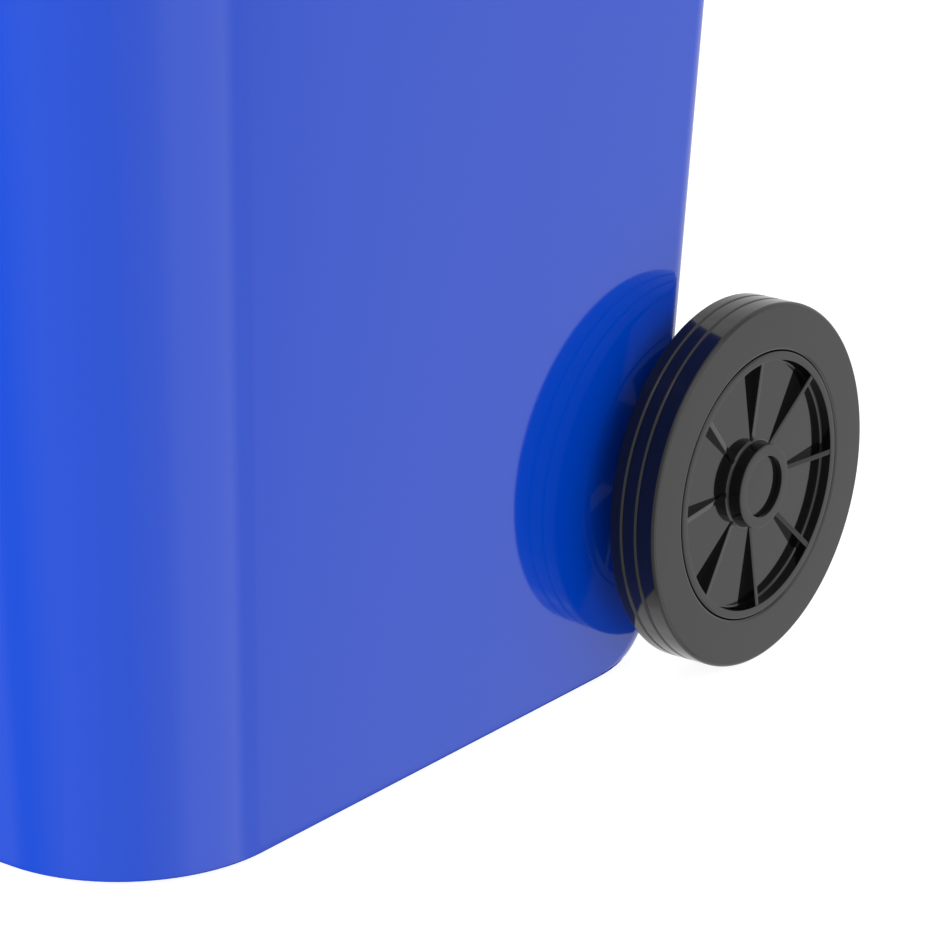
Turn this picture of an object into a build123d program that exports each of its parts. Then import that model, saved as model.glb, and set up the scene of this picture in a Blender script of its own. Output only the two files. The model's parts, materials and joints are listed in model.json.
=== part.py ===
"""A two-wheeled household waste bin of about 240 litres, in millimetres.

+Z is up and the floor is z = 0. The front, with the comb rim, faces -Y. The
handle, the lid hinge and the wheels are at the back, towards +Y. +X is the
bin's right side. The origin is the middle of the footprint, on the floor.
"""

import math
import os

from build123d import *

# Overall layout
RIM_TOP_Z = 1030.0
AXLE_Y = 251.8
SIDES = {"left": -1, "right": 1}

# Tub: plain walls that open out towards the top
BASE_Z = 4.1
WALL = 4.0
BASE_THICKNESS = 5.0
HALF_WIDTH_AT_AXLE = 230.0
SIDE_SLOPE = 0.036
FRONT_Y_AT_BASE = AXLE_Y - 555.0
FRONT_SLOPE = 0.051
REAR_Y_AT_AXLE = AXLE_Y - 16.3
REAR_SLOPE = 0.067
FRONT_CORNER_RADIUS = 105.6
FRONT_CORNER_GROWTH = 0.0157
REAR_CORNER_RADIUS = 25.0
HEEL_RADIUS = 81.0
HEEL_DEPTH = 25.0

# Where the tub's wall is divided, so that each stored piece is nearly convex
CORNER_CUT_X = 130.5
CORNER_CUT_Y = -215.7
STAVE_ANGLES = {
    "side": (0.0, 22.0),
    "near_side": (22.0, 44.0),
    "near_front": (44.0, 67.0),
    "front": (67.0, 90.0),
}
HEEL_TOP_Z = BASE_Z - HEEL_DEPTH + HEEL_RADIUS
HEEL_CUT_Y = AXLE_Y - 63.8

# Rim and lifting comb
RIM_LIP_HEIGHT = 30.0
RIM_LIP_THICKNESS = 3.5
RIM_FLANGE = 4.0
RIM_SIDE = 14.0
RIM_FRONT = 16.0
RIM_REAR = 6.0
COMB_RIBS = 9
COMB_PITCH = 34.0
COMB_RIB_THICKNESS = 4.0
COMB_DEPTH = 34.0
RIM_CUT_X = 141.0
RIM_CUT_Y = -233.8
RIM_REAR_CUT_Y = 271.0

# Hinge, lugs and grips
HINGE_Y = AXLE_Y + 100.0
HINGE_Z = RIM_TOP_Z + 4.0
LUG_RADIUS = 18.0
LUG_THICKNESS = 10.0
INNER_LUG_X = 34.0
OUTER_LUG_X = 86.0
END_LUG_X = 206.0
GRIP_RADIUS = 14.0
PIN_RADIUS = 7.0
PIN_HEAD_RADIUS = 11.0
PIN_HEAD = 4.0
RUNNING_CLEARANCE = 0.05

# Lid
LID_THICKNESS = 3.0
LID_GAP = 2.2
LID_SKIRT_Z = 1008.0
LID_EDGE_Z = 1040.0
LID_CROWN_Z = 1070.0
LID_CROWN_INSET = 95.0
LID_CROWN_RADII = (60.0, 40.0)
LID_REAR_Y = AXLE_Y + 60.0
LID_REAR_WALL_Z = RIM_TOP_Z + 1.5
LID_REAR_RADIUS = 30.0
LID_REAR_CUT_HALF = END_LUG_X + LUG_THICKNESS + 12.0
LID_UNDERSIDE_Z = LID_EDGE_Z - LID_THICKNESS
LID_FRONT_MITRE = (134.0, -228.0)
KNUCKLE_RADIUS = 16.5
KNUCKLE_GAP = 0.5
LID_GRIP_LENGTH = 120.0
LID_GRIP_REACH = 7.0
BUFFER_RADIUS = 5.0

# Wheels and axle
WHEEL_RADIUS = 125.0
WHEEL_FACE_X = 287.0
TYRE_WIDTH = 36.0
TYRE_SEAT_RADIUS = 92.0
TREAD_GROOVES = (14.2, 25.4)
TREAD_GROOVE_WIDTH = 1.5
TREAD_GROOVE_DEPTH = 1.5
RIM_BORE_RADIUS = 85.9
WEB_DEPTH = 8.0
WEB_THICKNESS = 6.0
WHEEL_RIBS = 8
WHEEL_RIB_THICKNESS = 3.8
HUB_RADIUS = 29.0
HUB_PROUD = 3.0
HUB_INNER_X = 247.0
HUB_FLOOR_X = 274.0
HUB_POCKET_RADIUS = 18.5
CAP_RADIUS = 20.9
CAP_RECESS = 3.75
CAP_THICKNESS = 3.25
AXLE_RADIUS = 10.0
AXLE_END_X = 281.0
BUSH_RADIUS = 13.5
BRACKET_RADIUS = 24.0
BRACKET_XS = (60.0, 126.0, 192.0)
BRACKET_THICKNESS = 10.0
SPACER_RADIUS = 16.0
SKID_WIDTH = 300.0
SKID_LENGTH = 60.0

# Small plugs
CHIP_PLUG_RADIUS = 15.0
CHIP_NEST_RADIUS = 19.0
CHIP_NEST_Z = 955.0
DRAIN_RADIUS = 16.0
DRAIN_FLANGE_RADIUS = 22.0

AXLE_LINE = Axis((0, AXLE_Y, WHEEL_RADIUS), (1, 0, 0))
AXLE_PLANE = Plane(origin=(0, AXLE_Y, WHEEL_RADIUS), x_dir=(1, 0, 0), z_dir=(0, -1, 0))


def half_width(z):
    """Half the tub's outer width at a height."""
    return HALF_WIDTH_AT_AXLE + SIDE_SLOPE * (z - WHEEL_RADIUS)


def front_y(z):
    """The front wall's outer face at a height."""
    return FRONT_Y_AT_BASE - FRONT_SLOPE * (z - BASE_Z)


def rear_y(z):
    """The rear wall's outer face at a height."""
    return REAR_Y_AT_AXLE + REAR_SLOPE * (z - WHEEL_RADIUS)


def corner_radius(z):
    """The front corners' outer radius at a height."""
    return FRONT_CORNER_RADIUS + FRONT_CORNER_GROWTH * (z - BASE_Z)


def outline(z, side, front, rear, front_radius, rear_radius=0.0):
    """A plan outline at a height, from its half width, ends and corner radii."""
    with BuildSketch(Plane.XY.offset(z)) as plan:
        with Locations((0, (front + rear) / 2)):
            Rectangle(2 * side, rear - front)
        fillet(plan.vertices().group_by(Axis.Y)[0], front_radius)
        if rear_radius:
            fillet(plan.vertices().group_by(Axis.Y)[-1], rear_radius)
    return plan.sketch


def tub_outline(z, inset):
    """The tub's plan at a height, moved in from the outer face, with square rear corners."""
    side = half_width(z) - inset
    return outline(z, side, front_y(z) + inset, rear_y(z) - inset, corner_radius(z) - inset)


def tub_block(inset, floor_z, top_z):
    """A solid of the tub's shape, with the rounded heel below the rear wall."""
    heel_z = BASE_Z - HEEL_DEPTH + inset
    with BuildPart() as block:
        add(tub_outline(heel_z, inset))
        add(tub_outline(top_z, inset))
        loft()
        heel = block.edges().filter_by(Axis.X).group_by(Axis.Z)[0].sort_by(Axis.Y)[-1]
        fillet(heel, HEEL_RADIUS - inset)
        rear_side = block.faces().sort_by(Axis.X)
        corners = ShapeList(rear_side[0].edges() + rear_side[-1].edges())
        corners = corners.filter_by(lambda edge: edge.center().Y > front_y(0) + FRONT_CORNER_RADIUS)
        corners = corners.filter_by(lambda edge: edge.center().Z < top_z - 1)
        fillet(corners, REAR_CORNER_RADIUS - inset)
        split(bisect_by=Plane.XY.offset(floor_z), keep=Keep.TOP)
    return block.part


def beyond(point, direction):
    """A plane through a point; what lies beyond it in the direction is kept by kept_part."""
    return Plane(origin=point, z_dir=direction)


def above(z):
    """The plane that keeps what lies above a height."""
    return beyond((0, 0, z), (0, 0, 1))


def below(z):
    """The plane that keeps what lies below a height."""
    return beyond((0, 0, z), (0, 0, -1))


def between_x(half):
    """The two planes that keep what lies within a distance of the middle plane."""
    return beyond((-half, 0, 0), (1, 0, 0)), beyond((half, 0, 0), (-1, 0, 0))


def kept_part(source, *planes):
    """The part of a shape beyond every one of the planes."""
    with BuildPart() as piece:
        add(source)
        for plane in planes:
            split(bisect_by=plane, keep=Keep.TOP)
    return piece.part


def kept_pair(source, *planes):
    """The part of a shape beyond the planes on the right side, and its mirror image on the left."""
    with BuildPart() as pair:
        add(kept_part(source, beyond((0, 0, 0), (1, 0, 0)), *planes))
        mirror(about=Plane.YZ)
    return pair.part


def rim_outline(z, inset=0.0):
    """The rim's plan outline, moved in from the lip's outer face."""
    return outline(
        z,
        half_width(RIM_TOP_Z) + RIM_SIDE - inset,
        front_y(RIM_TOP_Z) - RIM_FRONT + inset,
        rear_y(RIM_TOP_Z) + RIM_REAR - inset,
        corner_radius(RIM_TOP_Z) + RIM_SIDE - inset,
        REAR_CORNER_RADIUS + RIM_REAR - inset,
    )


def rim_flange():
    """The flat flange round the mouth, outside the tub's walls."""
    with BuildPart() as flange:
        add(rim_outline(RIM_TOP_Z - RIM_FLANGE))
        extrude(amount=RIM_FLANGE)
        add(tub_block(0.0, BASE_Z, RIM_TOP_Z + 5), mode=Mode.SUBTRACT)
    return flange.part


def rim_lip():
    """The lip that turns down from the flange's edge."""
    height = RIM_LIP_HEIGHT - RIM_FLANGE
    with BuildPart() as lip:
        add(rim_outline(RIM_TOP_Z - RIM_LIP_HEIGHT))
        extrude(amount=height)
        add(rim_outline(RIM_TOP_Z - RIM_LIP_HEIGHT, inset=RIM_LIP_THICKNESS))
        extrude(amount=height, mode=Mode.SUBTRACT)
    return lip.part


def rim_pieces():
    """The rim, divided at its corners: flange and lip apart at the front, joined elsewhere."""
    flange = rim_flange()
    lip = rim_lip()
    with BuildPart() as whole:
        add(flange)
        add(lip)
    front = (*between_x(RIM_CUT_X), beyond((0, RIM_CUT_Y, 0), (0, -1, 0)))
    behind_corner = beyond((0, RIM_CUT_Y, 0), (0, 1, 0))
    return {
        "rim_front_flange": kept_part(flange, *front),
        "rim_front_lip": kept_part(lip, *front),
        "rim_front_corners": kept_pair(whole.part, beyond((RIM_CUT_X, 0, 0), (1, 0, 0)), front[-1]),
        "rim_sides": kept_pair(whole.part, behind_corner, beyond((0, RIM_REAR_CUT_Y, 0), (0, -1, 0))),
        "rim_rear": kept_part(whole.part, beyond((0, RIM_REAR_CUT_Y, 0), (0, 1, 0))),
    }


def comb_ribs():
    """The ribs under the front of the rim that a lifting comb slides between."""
    wall_y = front_y(RIM_TOP_Z - COMB_DEPTH) + 2.0
    lip_y = front_y(RIM_TOP_Z) - RIM_FRONT + RIM_LIP_THICKNESS
    top_z = RIM_TOP_Z - RIM_FLANGE
    with BuildPart() as ribs:
        for index in range(COMB_RIBS):
            rib_x = (index - (COMB_RIBS - 1) / 2) * COMB_PITCH
            with BuildSketch(Plane.YZ.offset(rib_x)):
                with BuildLine():
                    Polyline(
                        (wall_y, top_z),
                        (lip_y, top_z),
                        (lip_y, RIM_TOP_Z - RIM_LIP_HEIGHT),
                        (wall_y, RIM_TOP_Z - RIM_LIP_HEIGHT - COMB_DEPTH / 2),
                        close=True,
                    )
                make_face()
            extrude(amount=COMB_RIB_THICKNESS / 2, both=True)
        add(tub_block(0.0, BASE_Z, RIM_TOP_Z + 5), mode=Mode.SUBTRACT)
    return ribs.part


def hinge_lug(start_x):
    """One lug that reaches back from the rim and ends round the hinge line."""
    wall_y = rear_y(RIM_TOP_Z) - 2.0
    with BuildPart() as lug:
        with BuildSketch(Plane.YZ.offset(start_x)):
            with Locations((HINGE_Y, HINGE_Z)):
                Circle(LUG_RADIUS)
            with BuildLine():
                Polyline(
                    (wall_y, RIM_TOP_Z - 42),
                    (wall_y, RIM_TOP_Z - 1),
                    (LID_REAR_Y + 4, RIM_TOP_Z - 1),
                    (HINGE_Y - 8, HINGE_Z + 15.5),
                    (HINGE_Y, HINGE_Z - LUG_RADIUS + 0.5),
                    close=True,
                )
            make_face()
        extrude(amount=LUG_THICKNESS)
    return lug.part


def hinge_lugs():
    """The six lugs behind the rim, with the holes for the two hinge pins."""
    with BuildPart() as lugs:
        for side in SIDES.values():
            for start in (INNER_LUG_X, OUTER_LUG_X, END_LUG_X):
                add(hinge_lug(min(side * start, side * (start + LUG_THICKNESS))))
            with BuildSketch(Plane.YZ.offset(side * (INNER_LUG_X - 1))):
                with Locations((HINGE_Y, HINGE_Z)):
                    Circle(PIN_RADIUS + RUNNING_CLEARANCE)
            extrude(amount=side * (OUTER_LUG_X - INNER_LUG_X + LUG_THICKNESS - 1), mode=Mode.SUBTRACT)
        add(tub_block(0.0, BASE_Z, RIM_TOP_Z + 5), mode=Mode.SUBTRACT)
        add(rim_outline(RIM_TOP_Z - RIM_LIP_HEIGHT))
        extrude(amount=RIM_LIP_HEIGHT, mode=Mode.SUBTRACT)
    return lugs.part


def grips():
    """The two grip bars, each between a middle and an end lug."""
    start = OUTER_LUG_X + LUG_THICKNESS
    with BuildPart() as bars:
        for side in SIDES.values():
            with BuildSketch(Plane.YZ.offset(side * start)):
                with Locations((HINGE_Y, HINGE_Z)):
                    Circle(GRIP_RADIUS)
            extrude(amount=side * (END_LUG_X - start))
    return bars.part


def axle_bracket(centre_x):
    """One bracket that carries the axle behind the rear wall."""
    wall_y = rear_y(WHEEL_RADIUS) - 2.0
    top_z = WHEEL_RADIUS + 2.6 * BRACKET_RADIUS
    bottom_z = WHEEL_RADIUS - 1.7 * BRACKET_RADIUS
    with BuildPart() as bracket:
        with BuildSketch(Plane.YZ.offset(centre_x)):
            with Locations((AXLE_Y, WHEEL_RADIUS)):
                Circle(BRACKET_RADIUS)
            with BuildLine():
                Polyline(
                    (wall_y - 4, bottom_z),
                    (wall_y + 1, top_z),
                    (AXLE_Y + 12, WHEEL_RADIUS + 20.7),
                    (AXLE_Y + 12, WHEEL_RADIUS - 20.7),
                    close=True,
                )
            make_face()
        extrude(amount=BRACKET_THICKNESS / 2, both=True)
    return bracket.part


def axle_brackets():
    """The six brackets behind the rear wall, bored for the axle."""
    outer_x = BRACKET_XS[-1] + BRACKET_THICKNESS
    with BuildPart() as brackets:
        for side in SIDES.values():
            for bracket_x in BRACKET_XS:
                add(axle_bracket(side * bracket_x))
        with BuildSketch(Plane.YZ.offset(-outer_x)):
            with Locations((AXLE_Y, WHEEL_RADIUS)):
                Circle(AXLE_RADIUS + RUNNING_CLEARANCE)
        extrude(amount=2 * outer_x, mode=Mode.SUBTRACT)
        add(tub_block(0.0, BASE_Z, RIM_TOP_Z), mode=Mode.SUBTRACT)
    return brackets.part


def tub():
    """The tapered tub: four walls and the base, with the drain hole."""
    with BuildPart() as body:
        add(tub_block(0.0, BASE_Z, RIM_TOP_Z))
        add(tub_block(WALL, BASE_Z + BASE_THICKNESS, RIM_TOP_Z + 5), mode=Mode.SUBTRACT)
        with BuildSketch(Plane.XY.offset(BASE_Z - 1)):
            with Locations((0, AXLE_Y - 160)):
                Circle(DRAIN_RADIUS)
        extrude(amount=BASE_THICKNESS + 2, mode=Mode.SUBTRACT)
    return body.part


def stave_plane(angle, direction):
    """An upright plane through the front corner's middle, turned from the side towards the front."""
    turn = math.radians(angle)
    across = (-direction * math.sin(turn), -direction * math.cos(turn), 0)
    return beyond((CORNER_CUT_X, CORNER_CUT_Y, 0), across)


def tub_sides(wall):
    """The two flat side walls, from the front corners to the rear ones."""
    behind_corner = beyond((0, CORNER_CUT_Y, 0), (0, 1, 0))
    rear_edge = beyond((0, rear_y(0) - REAR_CORNER_RADIUS, 0), (0, -1, REAR_SLOPE))
    with BuildPart() as sides:
        add(kept_pair(wall, behind_corner, above(HEEL_TOP_Z), rear_edge))
        add(kept_pair(wall, behind_corner, below(HEEL_TOP_Z), beyond((0, HEEL_CUT_Y, 0), (0, -1, 0))))
    return sides.part


def tub_pieces():
    """The tub, divided into nearly convex pieces: base, walls, corners and heel."""
    whole = tub()
    floor_z = BASE_Z + BASE_THICKNESS
    wall = kept_part(whole, above(floor_z))
    front = beyond((0, CORNER_CUT_Y, 0), (0, -1, 0))
    rear = beyond((0, rear_y(0) - REAR_CORNER_RADIUS, 0), (0, 1, -REAR_SLOPE))
    heel = beyond((0, HEEL_CUT_Y, 0), (0, 1, 0))
    corner_x = half_width(0) - REAR_CORNER_RADIUS
    outside = beyond((corner_x, 0, 0), (1, 0, -SIDE_SLOPE))
    inside = (
        beyond((corner_x, 0, 0), (-1, 0, SIDE_SLOPE)),
        beyond((-corner_x, 0, 0), (1, 0, SIDE_SLOPE)),
    )
    pieces = {
        "tub_base": kept_part(whole, below(floor_z)),
        "tub_front": kept_part(wall, *between_x(CORNER_CUT_X), front),
        "tub_sides": tub_sides(wall),
        "tub_rear": kept_part(wall, above(HEEL_TOP_Z), rear, *inside),
        "tub_rear_corners": kept_pair(wall, above(HEEL_TOP_Z), rear, outside),
        "tub_heel": kept_part(wall, below(HEEL_TOP_Z), heel, *inside),
        "tub_heel_corners": kept_pair(wall, below(HEEL_TOP_Z), heel, outside),
    }
    for name, (start, end) in STAVE_ANGLES.items():
        stave = (stave_plane(start, 1), stave_plane(end, -1))
        pieces[f"tub_corners_{name}"] = kept_pair(wall, *stave)
    return pieces


def front_skid():
    """The wear skid that the front of the base stands on."""
    with BuildPart() as skid:
        with BuildSketch(Plane.XY):
            with Locations((0, FRONT_Y_AT_BASE + 75.0)):
                RectangleRounded(SKID_WIDTH, SKID_LENGTH, 12)
        extrude(amount=BASE_Z)
    return skid.part


def tag_nest():
    """The round nest for a tag on the front wall, with its blind hole."""
    chip_y = front_y(CHIP_NEST_Z)
    with BuildPart() as nest:
        with BuildSketch(Plane.XZ.offset(-chip_y - 3)):
            with Locations((0, CHIP_NEST_Z)):
                Circle(CHIP_NEST_RADIUS)
        extrude(amount=12)
        with BuildSketch(Plane.XZ.offset(-chip_y + 9)):
            with Locations((0, CHIP_NEST_Z)):
                Circle(CHIP_PLUG_RADIUS)
        extrude(amount=-7, mode=Mode.SUBTRACT)
        add(tub_block(0.0, BASE_Z, RIM_TOP_Z), mode=Mode.SUBTRACT)
    return nest.part


def lid_shape(shrink):
    """A solid of the lid's outer shape, or of the space under it, moved in all round."""
    rear = LID_REAR_Y - shrink
    rise = LID_CROWN_Z - LID_EDGE_Z
    reach = LID_GAP + LID_THICKNESS - shrink
    side = half_width(RIM_TOP_Z) + RIM_SIDE + reach
    front = front_y(RIM_TOP_Z) - RIM_FRONT - reach
    radius = corner_radius(RIM_TOP_Z) + RIM_SIDE + reach
    crown = LID_CROWN_INSET
    edge_z = LID_EDGE_Z - shrink
    with BuildPart() as shape:
        add(outline(LID_SKIRT_Z, side, front, rear, radius, LID_REAR_RADIUS - shrink))
        extrude(amount=edge_z - LID_SKIRT_Z)
        add(outline(edge_z, side, front, rear, radius, LID_REAR_RADIUS - shrink))
        add(outline(edge_z + rise, side - crown, front + crown, rear - crown, *LID_CROWN_RADII))
        loft()
    return shape.part


def lid_knuckle(side):
    """One hinge knuckle of the lid with its arm."""
    start_x = side * (INNER_LUG_X + LUG_THICKNESS + KNUCKLE_GAP)
    length = OUTER_LUG_X - INNER_LUG_X - LUG_THICKNESS - 2 * KNUCKLE_GAP
    with BuildPart() as knuckle:
        with BuildSketch(Plane.YZ.offset(start_x)):
            with Locations((HINGE_Y, HINGE_Z)):
                Circle(KNUCKLE_RADIUS)
            with BuildLine():
                Polyline(
                    (LID_REAR_Y - 1.5, LID_REAR_WALL_Z + 2),
                    (LID_REAR_Y - 1.5, LID_EDGE_Z + 1),
                    (HINGE_Y - 4, HINGE_Z + 15.9),
                    (HINGE_Y, HINGE_Z),
                    (HINGE_Y - 15.6, HINGE_Z - 5),
                    close=True,
                )
            make_face()
            with Locations((HINGE_Y, HINGE_Z)):
                Circle(PIN_RADIUS + RUNNING_CLEARANCE, mode=Mode.SUBTRACT)
        extrude(amount=side * length)
    return knuckle.part


def lid_knuckles():
    """Both knuckles, cut off where their arms meet the lid's rear."""
    with BuildPart() as knuckles:
        for side in SIDES.values():
            add(lid_knuckle(side))
        add(lid_shape(0.0), mode=Mode.SUBTRACT)
    return knuckles.part


def lid_shell():
    """The lid's shell: crown, skirt and two side grips, cut away over the lugs."""
    grip_y = front_y(RIM_TOP_Z) + 230.0
    grip_x = half_width(RIM_TOP_Z) + RIM_SIDE + LID_GAP + LID_THICKNESS
    with BuildPart() as shell:
        add(lid_shape(0.0))
        with BuildSketch(Plane.XY.offset(LID_SKIRT_Z)):
            for side in SIDES.values():
                with Locations((side * (grip_x + LID_GRIP_REACH - 10), grip_y)):
                    RectangleRounded(20, LID_GRIP_LENGTH, 6)
        extrude(amount=4)
        add(lid_shape(LID_THICKNESS), mode=Mode.SUBTRACT)
        with BuildSketch(Plane.XY.offset(LID_SKIRT_Z - 1)):
            with Locations((0, LID_REAR_Y)):
                Rectangle(2 * LID_REAR_CUT_HALF, 24)
        extrude(amount=LID_REAR_WALL_Z - LID_SKIRT_Z + 1, mode=Mode.SUBTRACT)
    return shell.part


def crown_block(floor_z):
    """An upright block over the lid's level top, from a height upwards."""
    reach = LID_GAP + LID_THICKNESS - LID_CROWN_INSET
    with BuildPart() as post:
        add(
            outline(
                floor_z,
                half_width(RIM_TOP_Z) + RIM_SIDE + reach,
                front_y(RIM_TOP_Z) - RIM_FRONT - reach,
                LID_REAR_Y - LID_CROWN_INSET,
                LID_CROWN_RADII[0],
                LID_CROWN_RADII[1],
            )
        )
        extrude(amount=LID_CROWN_Z - floor_z + 5)
    return post.part


def lid_pieces():
    """The lid, divided into its panel, mitred slopes, skirts and corners."""
    shell = lid_shell()
    with BuildPart() as panel:
        add(shell)
        add(crown_block(LID_EDGE_Z), mode=Mode.INTERSECT)
    with BuildPart() as border:
        add(shell)
        add(crown_block(LID_EDGE_Z), mode=Mode.SUBTRACT)
    slope = kept_part(border.part, above(LID_UNDERSIDE_Z))
    skirt = kept_part(border.part, below(LID_UNDERSIDE_Z))
    mitre_x, mitre_y = LID_FRONT_MITRE
    rear_offset = LID_REAR_Y - half_width(RIM_TOP_Z) - RIM_SIDE - LID_GAP - LID_THICKNESS
    rear_planes = (beyond((0, rear_offset, 0), (-1, 1, 0)), beyond((0, rear_offset, 0), (1, 1, 0)))
    front_planes = (
        beyond((mitre_x, mitre_y, 0), (-1, -1, 0)),
        beyond((-mitre_x, mitre_y, 0), (1, -1, 0)),
    )
    side_planes = (beyond((mitre_x, mitre_y, 0), (1, 1, 0)), beyond((0, rear_offset, 0), (1, -1, 0)))
    corner_front = beyond((0, RIM_CUT_Y, 0), (0, -1, 0))
    skirt_rear_y = LID_REAR_Y - LID_REAR_RADIUS
    behind = beyond((0, skirt_rear_y, 0), (0, 1, 0))
    side_skirt = (beyond((0, RIM_CUT_Y, 0), (0, 1, 0)), beyond((0, skirt_rear_y, 0), (0, -1, 0)))
    with BuildPart() as rear_slope:
        add(kept_part(slope, *rear_planes))
        add(kept_part(skirt, behind, *between_x(LID_REAR_CUT_HALF)))
    return {
        "lid_panel": panel.part,
        "lid_front_slope": kept_part(slope, *front_planes),
        "lid_side_slopes": kept_pair(slope, *side_planes),
        "lid_rear_slope": rear_slope.part,
        "lid_front_skirt": kept_part(skirt, *between_x(RIM_CUT_X), corner_front),
        "lid_side_skirts": kept_pair(skirt, *side_skirt),
        "lid_front_corners": kept_pair(skirt, beyond((RIM_CUT_X, 0, 0), (1, 0, 0)), corner_front),
        "lid_rear_corners": kept_pair(skirt, behind, beyond((LID_REAR_CUT_HALF, 0, 0), (1, 0, 0))),
    }


def lid_buffer(side):
    """A rubber buffer under the lid that rests on the rim's flange."""
    buffer_y = front_y(RIM_TOP_Z) - RIM_FRONT / 2 + 2
    with BuildPart() as buffer:
        with BuildSketch(Plane.XY.offset(RIM_TOP_Z + 0.4)):
            with Locations((side * 90, buffer_y)):
                Circle(BUFFER_RADIUS)
        extrude(amount=LID_EDGE_Z - LID_THICKNESS - RIM_TOP_Z - 0.4)
    return buffer.part


def hinge_pin(side):
    """The pin that holds one lid knuckle, with a head on the inner lug."""
    head_x = side * INNER_LUG_X
    with BuildPart() as pin:
        with BuildSketch(Plane.YZ.offset(head_x)):
            with Locations((HINGE_Y, HINGE_Z)):
                Circle(PIN_HEAD_RADIUS)
        extrude(amount=-side * PIN_HEAD)
        fillet(pin.edges().filter_by(GeomType.CIRCLE).sort_by(Axis.X, reverse=side > 0)[-1], 1.2)
        with BuildSketch(Plane.YZ.offset(head_x)):
            with Locations((HINGE_Y, HINGE_Z)):
                Circle(PIN_RADIUS)
        extrude(amount=side * (OUTER_LUG_X - INNER_LUG_X + LUG_THICKNESS - 3))
    return pin.part


def turned(points):
    """A closed profile of (x, radius) points, turned about the axle's line."""
    with BuildPart() as turning:
        with BuildSketch(AXLE_PLANE):
            with BuildLine():
                Polyline(*points, close=True)
            make_face()
        revolve(axis=AXLE_LINE)
    return turning.part


def tube(side, start_x, end_x, inner, outer):
    """A plain ring on the axle's line between two distances from the middle."""
    points = [(side * start_x, inner), (side * end_x, inner), (side * end_x, outer), (side * start_x, outer)]
    return turned(points)


def axle():
    """The steel axle, with chamfered ends."""
    with BuildPart() as rod:
        with BuildSketch(Plane.YZ.offset(-AXLE_END_X)):
            with Locations((AXLE_Y, WHEEL_RADIUS)):
                Circle(AXLE_RADIUS)
        extrude(amount=2 * AXLE_END_X)
        chamfer(rod.edges().filter_by(GeomType.CIRCLE), 1.5)
    return rod.part


def tyre(side):
    """The solid rubber tyre, with two grooves round its tread."""
    inner_x = WHEEL_FACE_X - TYRE_WIDTH
    with BuildPart() as ring:
        add(tube(side, inner_x, WHEEL_FACE_X, TYRE_SEAT_RADIUS, WHEEL_RADIUS))
        edges = ring.edges().filter_by(GeomType.CIRCLE)
        fillet(edges.filter_by(lambda edge: edge.radius > WHEEL_RADIUS - 1), 4.5)
        fillet(edges.filter_by(lambda edge: edge.radius < TYRE_SEAT_RADIUS + 1), 2.5)
        for groove in TREAD_GROOVES:
            middle_x = WHEEL_FACE_X - groove
            half = TREAD_GROOVE_WIDTH / 2
            inner = WHEEL_RADIUS - TREAD_GROOVE_DEPTH
            cutter = tube(side, middle_x - half, middle_x + half, inner, WHEEL_RADIUS + 1)
            add(cutter, mode=Mode.SUBTRACT)
    return ring.part


def wheel_rib(side, index):
    """One pair of gussets, on the web's outer and inner face, at one angle."""
    angle = 2 * math.pi * index / WHEEL_RIBS
    plane = Plane(
        origin=(0, AXLE_Y, WHEEL_RADIUS),
        x_dir=(1, 0, 0),
        z_dir=(0, -math.sin(angle), math.cos(angle)),
    )
    web_out = WHEEL_FACE_X - WEB_DEPTH
    barrel_in = WHEEL_FACE_X - TYRE_WIDTH
    with BuildPart() as rib:
        with BuildSketch(plane):
            with BuildLine():
                Polyline(
                    (side * (web_out - WEB_THICKNESS / 2), HUB_RADIUS - 3),
                    (side * web_out, HUB_RADIUS - 3),
                    (side * web_out, HUB_RADIUS + 1),
                    (side * (WHEEL_FACE_X - 0.4), RIM_BORE_RADIUS),
                    (side * (WHEEL_FACE_X - 0.4), RIM_BORE_RADIUS + 2),
                    (side * (barrel_in + 0.4), RIM_BORE_RADIUS + 2),
                    (side * (barrel_in + 0.4), RIM_BORE_RADIUS),
                    (side * (web_out - WEB_THICKNESS), HUB_RADIUS + 1),
                    close=True,
                )
            make_face()
        extrude(amount=WHEEL_RIB_THICKNESS / 2, both=True)
    return rib.part


def wheel_core(side):
    """The moulded wheel: hub, web, ribs and barrel."""
    barrel_in = WHEEL_FACE_X - TYRE_WIDTH
    web_out = WHEEL_FACE_X - WEB_DEPTH
    hub_out = WHEEL_FACE_X + HUB_PROUD
    ledge_x = hub_out - CAP_RECESS - CAP_THICKNESS
    with BuildPart() as core:
        add(tube(side, barrel_in, WHEEL_FACE_X, RIM_BORE_RADIUS, TYRE_SEAT_RADIUS))
        add(tube(side, web_out - WEB_THICKNESS, web_out, BUSH_RADIUS, RIM_BORE_RADIUS + 2))
        add(tube(side, HUB_INNER_X, hub_out, BUSH_RADIUS, HUB_RADIUS))
        for index in range(WHEEL_RIBS):
            add(wheel_rib(side, index))
        add(tube(side, HUB_FLOOR_X, hub_out + 1, BUSH_RADIUS - 1, HUB_POCKET_RADIUS), mode=Mode.SUBTRACT)
        add(tube(side, ledge_x, hub_out + 1, BUSH_RADIUS - 1, CAP_RADIUS), mode=Mode.SUBTRACT)
    return core.part


def hub_cap(side):
    """The disc that closes the hub, set back inside its mouth."""
    outer_x = WHEEL_FACE_X + HUB_PROUD - CAP_RECESS
    with BuildPart() as cap:
        with BuildSketch(AXLE_PLANE):
            with Locations((side * (outer_x - CAP_THICKNESS / 2), CAP_RADIUS / 2)):
                Rectangle(CAP_THICKNESS, CAP_RADIUS)
        revolve(axis=AXLE_LINE)
    return cap.part


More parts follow.
